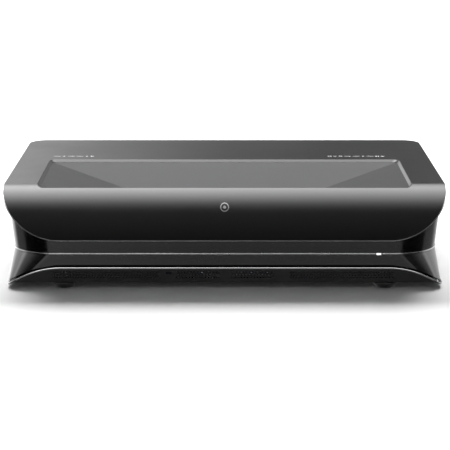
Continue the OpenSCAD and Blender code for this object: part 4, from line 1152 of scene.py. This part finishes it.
class PROJECTOR_OT_bands(bpy.types.Operator):
    """Upper and lower gloss bands, which wrap round the front corners"""

    bl_idname = "projector.bands"
    bl_label = "Gloss bands"

    def execute(self, context):
        s = sizes()
        weights = outline_weights(*BAND_STEPS)
        x, y = outline(weights, *band_level(s, BAND_TOP), BAND_REAR)
        inner = roll_radius(s) - BEHIND_SKIN
        reach = np.clip(roll_radius(s) - (y - FRONT), 0.0, inner)
        top = np.minimum(BAND_TOP, nose_height(s) + np.sqrt(inner**2 - reach**2) - UNDER_SKIN)
        upper = band_grid(s, weights, STRIP_HIGH.z, top, 26)
        piece = grid_piece("upper_band", [upper], "gloss_black", thickness=BAND_WALL)
        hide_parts("front_upper_band")
        low = np.full(x.shape, s.rim_level)
        for _ in range(6):  # the outline moves out as its foot sinks, so a few rounds settle both
            low_x, _ = outline(weights, *band_level(s, low), BAND_REAR)
            low = rim_height(s, low_x) + rim_half(s) + s.groove
        lower = band_grid(s, weights, low, STRIP_LOW.z, 14)
        piece = grid_piece("lower_band", [lower], "gloss_black", thickness=BAND_WALL)
        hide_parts("front_lower_band")
        return {"FINISHED"}


class PROJECTOR_OT_waist_strip(bpy.types.Operator):
    """Silver strip at the waist, open where the status light sits"""

    bl_idname = "projector.waist_strip"
    bl_label = "Waist strip"

    def execute(self, context):
        s = sizes()
        waist = (STRIP_LOW.z + STRIP_HIGH.z) / 2
        half_height = (STRIP_HIGH.z - STRIP_LOW.z) / 2
        weights = outline_weights(*BAND_STEPS)
        x, y = outline(weights, *band_level(s, waist), PANEL_REAR)
        path, out, up = outline_path(weights, x, y, waist)
        section = section_box(-STRIP_DEPTH, s.strip_proud, -half_height, half_height, STRIP_ROUND)
        grids = []
        ahead = [[0.0, -1.0, 0.0]]
        halves = ((LIGHT_LOW.x, x < LIGHT_LOW.x, True), (LIGHT_HIGH.x, x > LIGHT_HIGH.x, False))
        for gap_x, keep, last in halves:
            end = [[gap_x, FRONT + s.waist_back, waist]]
            line = np.concatenate([path[keep], end] if last else [end, path[keep]])
            outs = np.concatenate([out[keep], ahead] if last else [ahead, out[keep]])
            grids += swept(line, outs, up[: len(line)], section)
        strip = grid_piece("silver_waist", grids, "silver_strip", sharp=30.0)
        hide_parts("waist_strip")
        refinish("status_light")
        return {"FINISHED"}


class PROJECTOR_OT_rim(bpy.types.Operator):
    """Bright rim that dips from the front to the foot of each side"""

    bl_idname = "projector.rim"
    bl_label = "Bright rim"

    def execute(self, context):
        s = sizes()
        weights = outline_weights(*RIM_STEPS)
        x, y = outline(weights, HALF_WIDTH, RIM_LOW.y, s.rim_radius, PANEL_REAR)
        half = rim_half(s)
        section = section_box(-s.rim_width, 0.0, -half, half, RIM_ROUND)
        grids = swept(*outline_path(weights, x, y, rim_height(s, x)), section)
        rim = grid_piece("bright_rim", grids, "bright_rim", sharp=30.0)
        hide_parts("lower_rim")
        return {"FINISHED"}


class PROJECTOR_OT_case(bpy.types.Operator):
    """Grilles, tray, feet, key, receiver window and fasteners"""

    bl_idname = "projector.case"
    bl_label = "Grilles, tray and feet"

    def execute(self, context):
        refinish(*CASE_NODES)
        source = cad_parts["rear_panel"].data
        points = np.zeros((len(source.vertices), 3))
        source.vertices.foreach_get("co", points.reshape(-1))
        corners = np.zeros(len(source.loops), int)
        source.loops.foreach_get("vertex_index", corners)
        first, group = merged(points)
        faces = group[corners].reshape(-1, 3)
        faces = faces[(faces != np.roll(faces, 1, axis=1)).all(1)]
        panel = make_piece(
            "back_panel", points[first], faces.tolist(), finish_named("case_black"), 20.0
        )
        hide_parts("rear_panel")
        return {"FINISHED"}


class PROJECTOR_OT_ports(bpy.types.Operator):
    """Port plate and the sockets behind it"""

    bl_idname = "projector.ports"
    bl_label = "Ports"

    def execute(self, context):
        refinish(*PORT_NODES)
        return {"FINISHED"}


class PROJECTOR_OT_inside(bpy.types.Operator):
    """Light engine, boards, fans and speakers inside the case"""

    bl_idname = "projector.inside"
    bl_label = "Inner parts"

    def execute(self, context):
        refinish(*INNER_NODES)
        return {"FINISHED"}


# --- Stage ---


def level_ramp(tree, value, stops, scale, span=1.0, start=0.0):
    """Brightness by a value from 0 to 1: straight lines between stops, each a place and a level. Places
    are divided by the span and moved by the start, and the ramp holds the levels over the scale."""
    ramp = tree.nodes.new("ShaderNodeValToRGB")
    elements = ramp.color_ramp.elements
    elements[0].position = stops[0][0] / span + start
    elements[-1].position = stops[-1][0] / span + start
    for place, _ in stops[1:-1]:
        elements.new(place / span + start)
    for element, (_, level) in zip(elements, stops):
        element.color = (*grey(level / scale), 1)
    tree.links.new(value, ramp.inputs["Fac"])
    return maths(tree, "MULTIPLY", ramp.outputs["Color"], scale)


def glossy_surround(tree, x, y, z):
    """What glossy surfaces see in a direction: a wide soft light overhead, a dimmer front, a bright panel
    behind on the left, dark flags towards the front corners and white walls at the sides."""
    front = maths(tree, "MULTIPLY", y, -1.0)
    turned = maths(tree, "ARCTAN2", z, front)
    climb = maths(tree, "ADD", maths(tree, "DIVIDE", turned, 2 * math.pi), 0.5)
    side = maths(tree, "ABSOLUTE", x)
    bearing = maths(tree, "DIVIDE", maths(tree, "ARCTAN2", side, front), math.pi)
    across = maths(tree, "ADD", maths(tree, "MULTIPLY", x, 0.5), 0.5)
    overhead = level_ramp(tree, climb, CLIMB_STOPS, 10.0, 360, 0.5)
    overhead = maths(tree, "MULTIPLY", overhead, level_ramp(tree, across, BIAS_STOPS, 2.0))
    # The overhead light fades towards the sides, and the flags darken it low down only.
    narrow = ranged(tree, side, 0.25, 0.6, 1.0, 0.06, smooth=True)
    overhead = maths(tree, "MULTIPLY", overhead, narrow)
    low_down = ranged(tree, z, 0.25, 0.6, 1.0, 0.0, smooth=True)
    high_up = maths(tree, "SUBTRACT", 1.0, low_down)
    flags = maths(tree, "MULTIPLY", level_ramp(tree, bearing, FLAG_STOPS, 1.0, 180), low_down)
    overhead = maths(tree, "MULTIPLY", overhead, maths(tree, "ADD", flags, high_up))
    # The walls fade below the floor's line and high up, and the left panel stands behind only.
    fade = maths(tree, "MULTIPLY", ranged(tree, z, -0.32, -0.21, 0.15), ranged(tree, z, 0.3, 0.8, 1.0, 0.3))
    walls = maths(tree, "MULTIPLY", level_ramp(tree, bearing, WALL_STOPS, 2.0, 180), fade)
    left = maths(tree, "MULTIPLY", level_ramp(tree, across, LEFT_STOPS, 3.0), ranged(tree, y, 0.5, 0.9))
    seen = maths(tree, "ADD", overhead, walls)
    return maths(tree, "ADD", seen, maths(tree, "MULTIPLY", left, low_down))


def studio_world(fill):
    """Studio surround: an even fill on matt surfaces, white for the camera, and its own picture for
    glossy ones."""
    world = bpy.data.worlds.new("studio")
    bpy.context.scene.world = world
    world.use_nodes = True
    world.cycles.sampling_method = "NONE"
    tree = world.node_tree
    tree.nodes.clear()
    way = tree.nodes.new("ShaderNodeTexCoord").outputs["Generated"]
    seen = glossy_surround(tree, *node(tree, "ShaderNodeSeparateXYZ", Vector=way).outputs)
    path = tree.nodes.new("ShaderNodeLightPath")
    plain = maths(tree, "ADD", maths(tree, "MULTIPLY", path.outputs["Is Camera Ray"], 1.0 - fill), fill)
    glossy = path.outputs["Is Glossy Ray"]
    plain = maths(tree, "MULTIPLY", plain, maths(tree, "SUBTRACT", 1.0, glossy))
    chosen = maths(tree, "ADD", maths(tree, "MULTIPLY", seen, glossy), plain)
    light = node(tree, "ShaderNodeBackground", Color=WHITE, Strength=chosen)
    made = tree.nodes.new("ShaderNodeOutputWorld")
    tree.links.new(light.outputs[0], made.inputs["Surface"])


def floor_paint_and_glow(clear):
    """Pale floor paint with a painted glow: emission that grows with its distance from the projector, so that
    the floor runs out to white, while near the projector only the lamps light it."""
    plain = {"Specular IOR Level": 0.2, "Emission Strength": 1.0}
    paint = finish(
        "floor_paint_and_glow", grey(0.86), grey(0.88), (0.5, 0.6), tone=3.0, grain=400.0, bump=0.02, sockets=plain
    )
    tree = paint.node_tree
    away = node(tree, "ShaderNodeVectorMath", {"operation": "LENGTH"})
    tree.links.new(here(tree), away.inputs[0])
    # Painted light: the glow rises from nothing at FLOOR_GLOW to full at the clear distance.
    glow = ranged(tree, away.outputs["Value"], FLOOR_GLOW, clear, smooth=True)
    tree.links.new(glow_grey(tree, glow), tree.nodes["Principled BSDF"].inputs["Emission Color"])
    return paint


class PROJECTOR_OT_stage(bpy.types.Operator):
    """Pale floor with a painted glow away from the projector, soft key light, studio surround and camera"""

    bl_idname = "projector.stage"
    bl_label = "Stage"

    def execute(self, context):
        scene = context.scene
        stage = scene.projector_stage
        scene.view_settings.view_transform = "Standard"
        side = np.linspace(-FLOOR_REACH, FLOOR_REACH, 9)
        grid = oriented(xyz(side[None], side[:, None], 0.0), FAR_BELOW)
        points, faces, _ = joined([grid])
        floor = make_object("studio_floor", points, faces.tolist(), floor_paint_and_glow(stage.clear))
        floor.visible_glossy = False
        studio_world(stage.fill)
        key = bpy.data.lights.new("key", "AREA")
        key.shape = "RECTANGLE"
        key.size, key.size_y = KEY_WIDTH, KEY_DEPTH
        key.energy = stage.key
        lamp = bpy.data.objects.new("key", key)
        lamp.location = KEY_PLACE
        aim = np.array(KEY_AIM) - np.array(lamp.location)
        lamp.rotation_euler = (math.acos(-aim[2] / np.linalg.norm(aim)), 0.0, math.atan2(-aim[0], aim[1]))
        lamp.visible_glossy = False
        lamp.visible_camera = False
        scene.collection.objects.link(lamp)
        lens = bpy.data.cameras.new("camera")
        lens.lens = stage.focal
        lens.shift_x = SHIFT
        lens.clip_end = 100.0
        camera = bpy.data.objects.new("camera", lens)
        camera.location = (0.0, -stage.distance, stage.height)
        camera.rotation_euler = (math.pi / 2 - stage.tilt, 0.0, 0.0)
        scene.collection.objects.link(camera)
        scene.camera = camera
        return {"FINISHED"}


OPERATORS = (
    PROJECTOR_OT_top_cover,
    PROJECTOR_OT_printed_marks,
    PROJECTOR_OT_light_well,
    PROJECTOR_OT_trim,
    PROJECTOR_OT_bands,
    PROJECTOR_OT_waist_strip,
    PROJECTOR_OT_rim,
    PROJECTOR_OT_case,
    PROJECTOR_OT_ports,
    PROJECTOR_OT_inside,
    PROJECTOR_OT_stage,
)


class PROJECTOR_PT_panel(bpy.types.Panel):
    """Lists the projector's sizes, colours and operators"""

    bl_idname = "PROJECTOR_PT_panel"
    bl_label = "Projector"
    bl_space_type = "VIEW_3D"
    bl_region_type = "UI"
    bl_category = "Projector"

    def draw(self, context):
        scene = context.scene
        for group in (scene.projector_sizes, scene.projector_colours, scene.projector_stage):
            for key in group.bl_rna.properties.keys():
                if key not in ("rna_type", "name"):
                    self.layout.prop(group, key)
        for operator in OPERATORS:
            self.layout.operator(operator.bl_idname)


GROUP_CLASSES = (ProjectorSizes, ProjectorColours, ProjectorStage)
CLASSES = (*GROUP_CLASSES, *OPERATORS, PROJECTOR_PT_panel)


def register():
    """Registers the classes and puts the property groups on the scene."""
    for cls in CLASSES:
        bpy.utils.register_class(cls)
    bpy.types.Scene.projector_sizes = bpy.props.PointerProperty(type=ProjectorSizes)
    bpy.types.Scene.projector_colours = bpy.props.PointerProperty(type=ProjectorColours)
    bpy.types.Scene.projector_stage = bpy.props.PointerProperty(type=ProjectorStage)


def unregister():
    """Removes the property groups and the classes."""
    del bpy.types.Scene.projector_stage
    del bpy.types.Scene.projector_colours
    del bpy.types.Scene.projector_sizes
    for cls in reversed(CLASSES):
        bpy.utils.unregister_class(cls)


def main():
    """Registers the add-on, and builds the pieces and the stage in order."""
    register()
    bpy.ops.projector.top_cover()
    bpy.ops.projector.printed_marks()
    bpy.ops.projector.light_well()
    bpy.ops.projector.trim()
    bpy.ops.projector.bands()
    bpy.ops.projector.waist_strip()
    bpy.ops.projector.rim()
    bpy.ops.projector.case()
    bpy.ops.projector.ports()
    bpy.ops.projector.inside()
    bpy.ops.projector.stage()


if __name__ == "__main__":
    main()
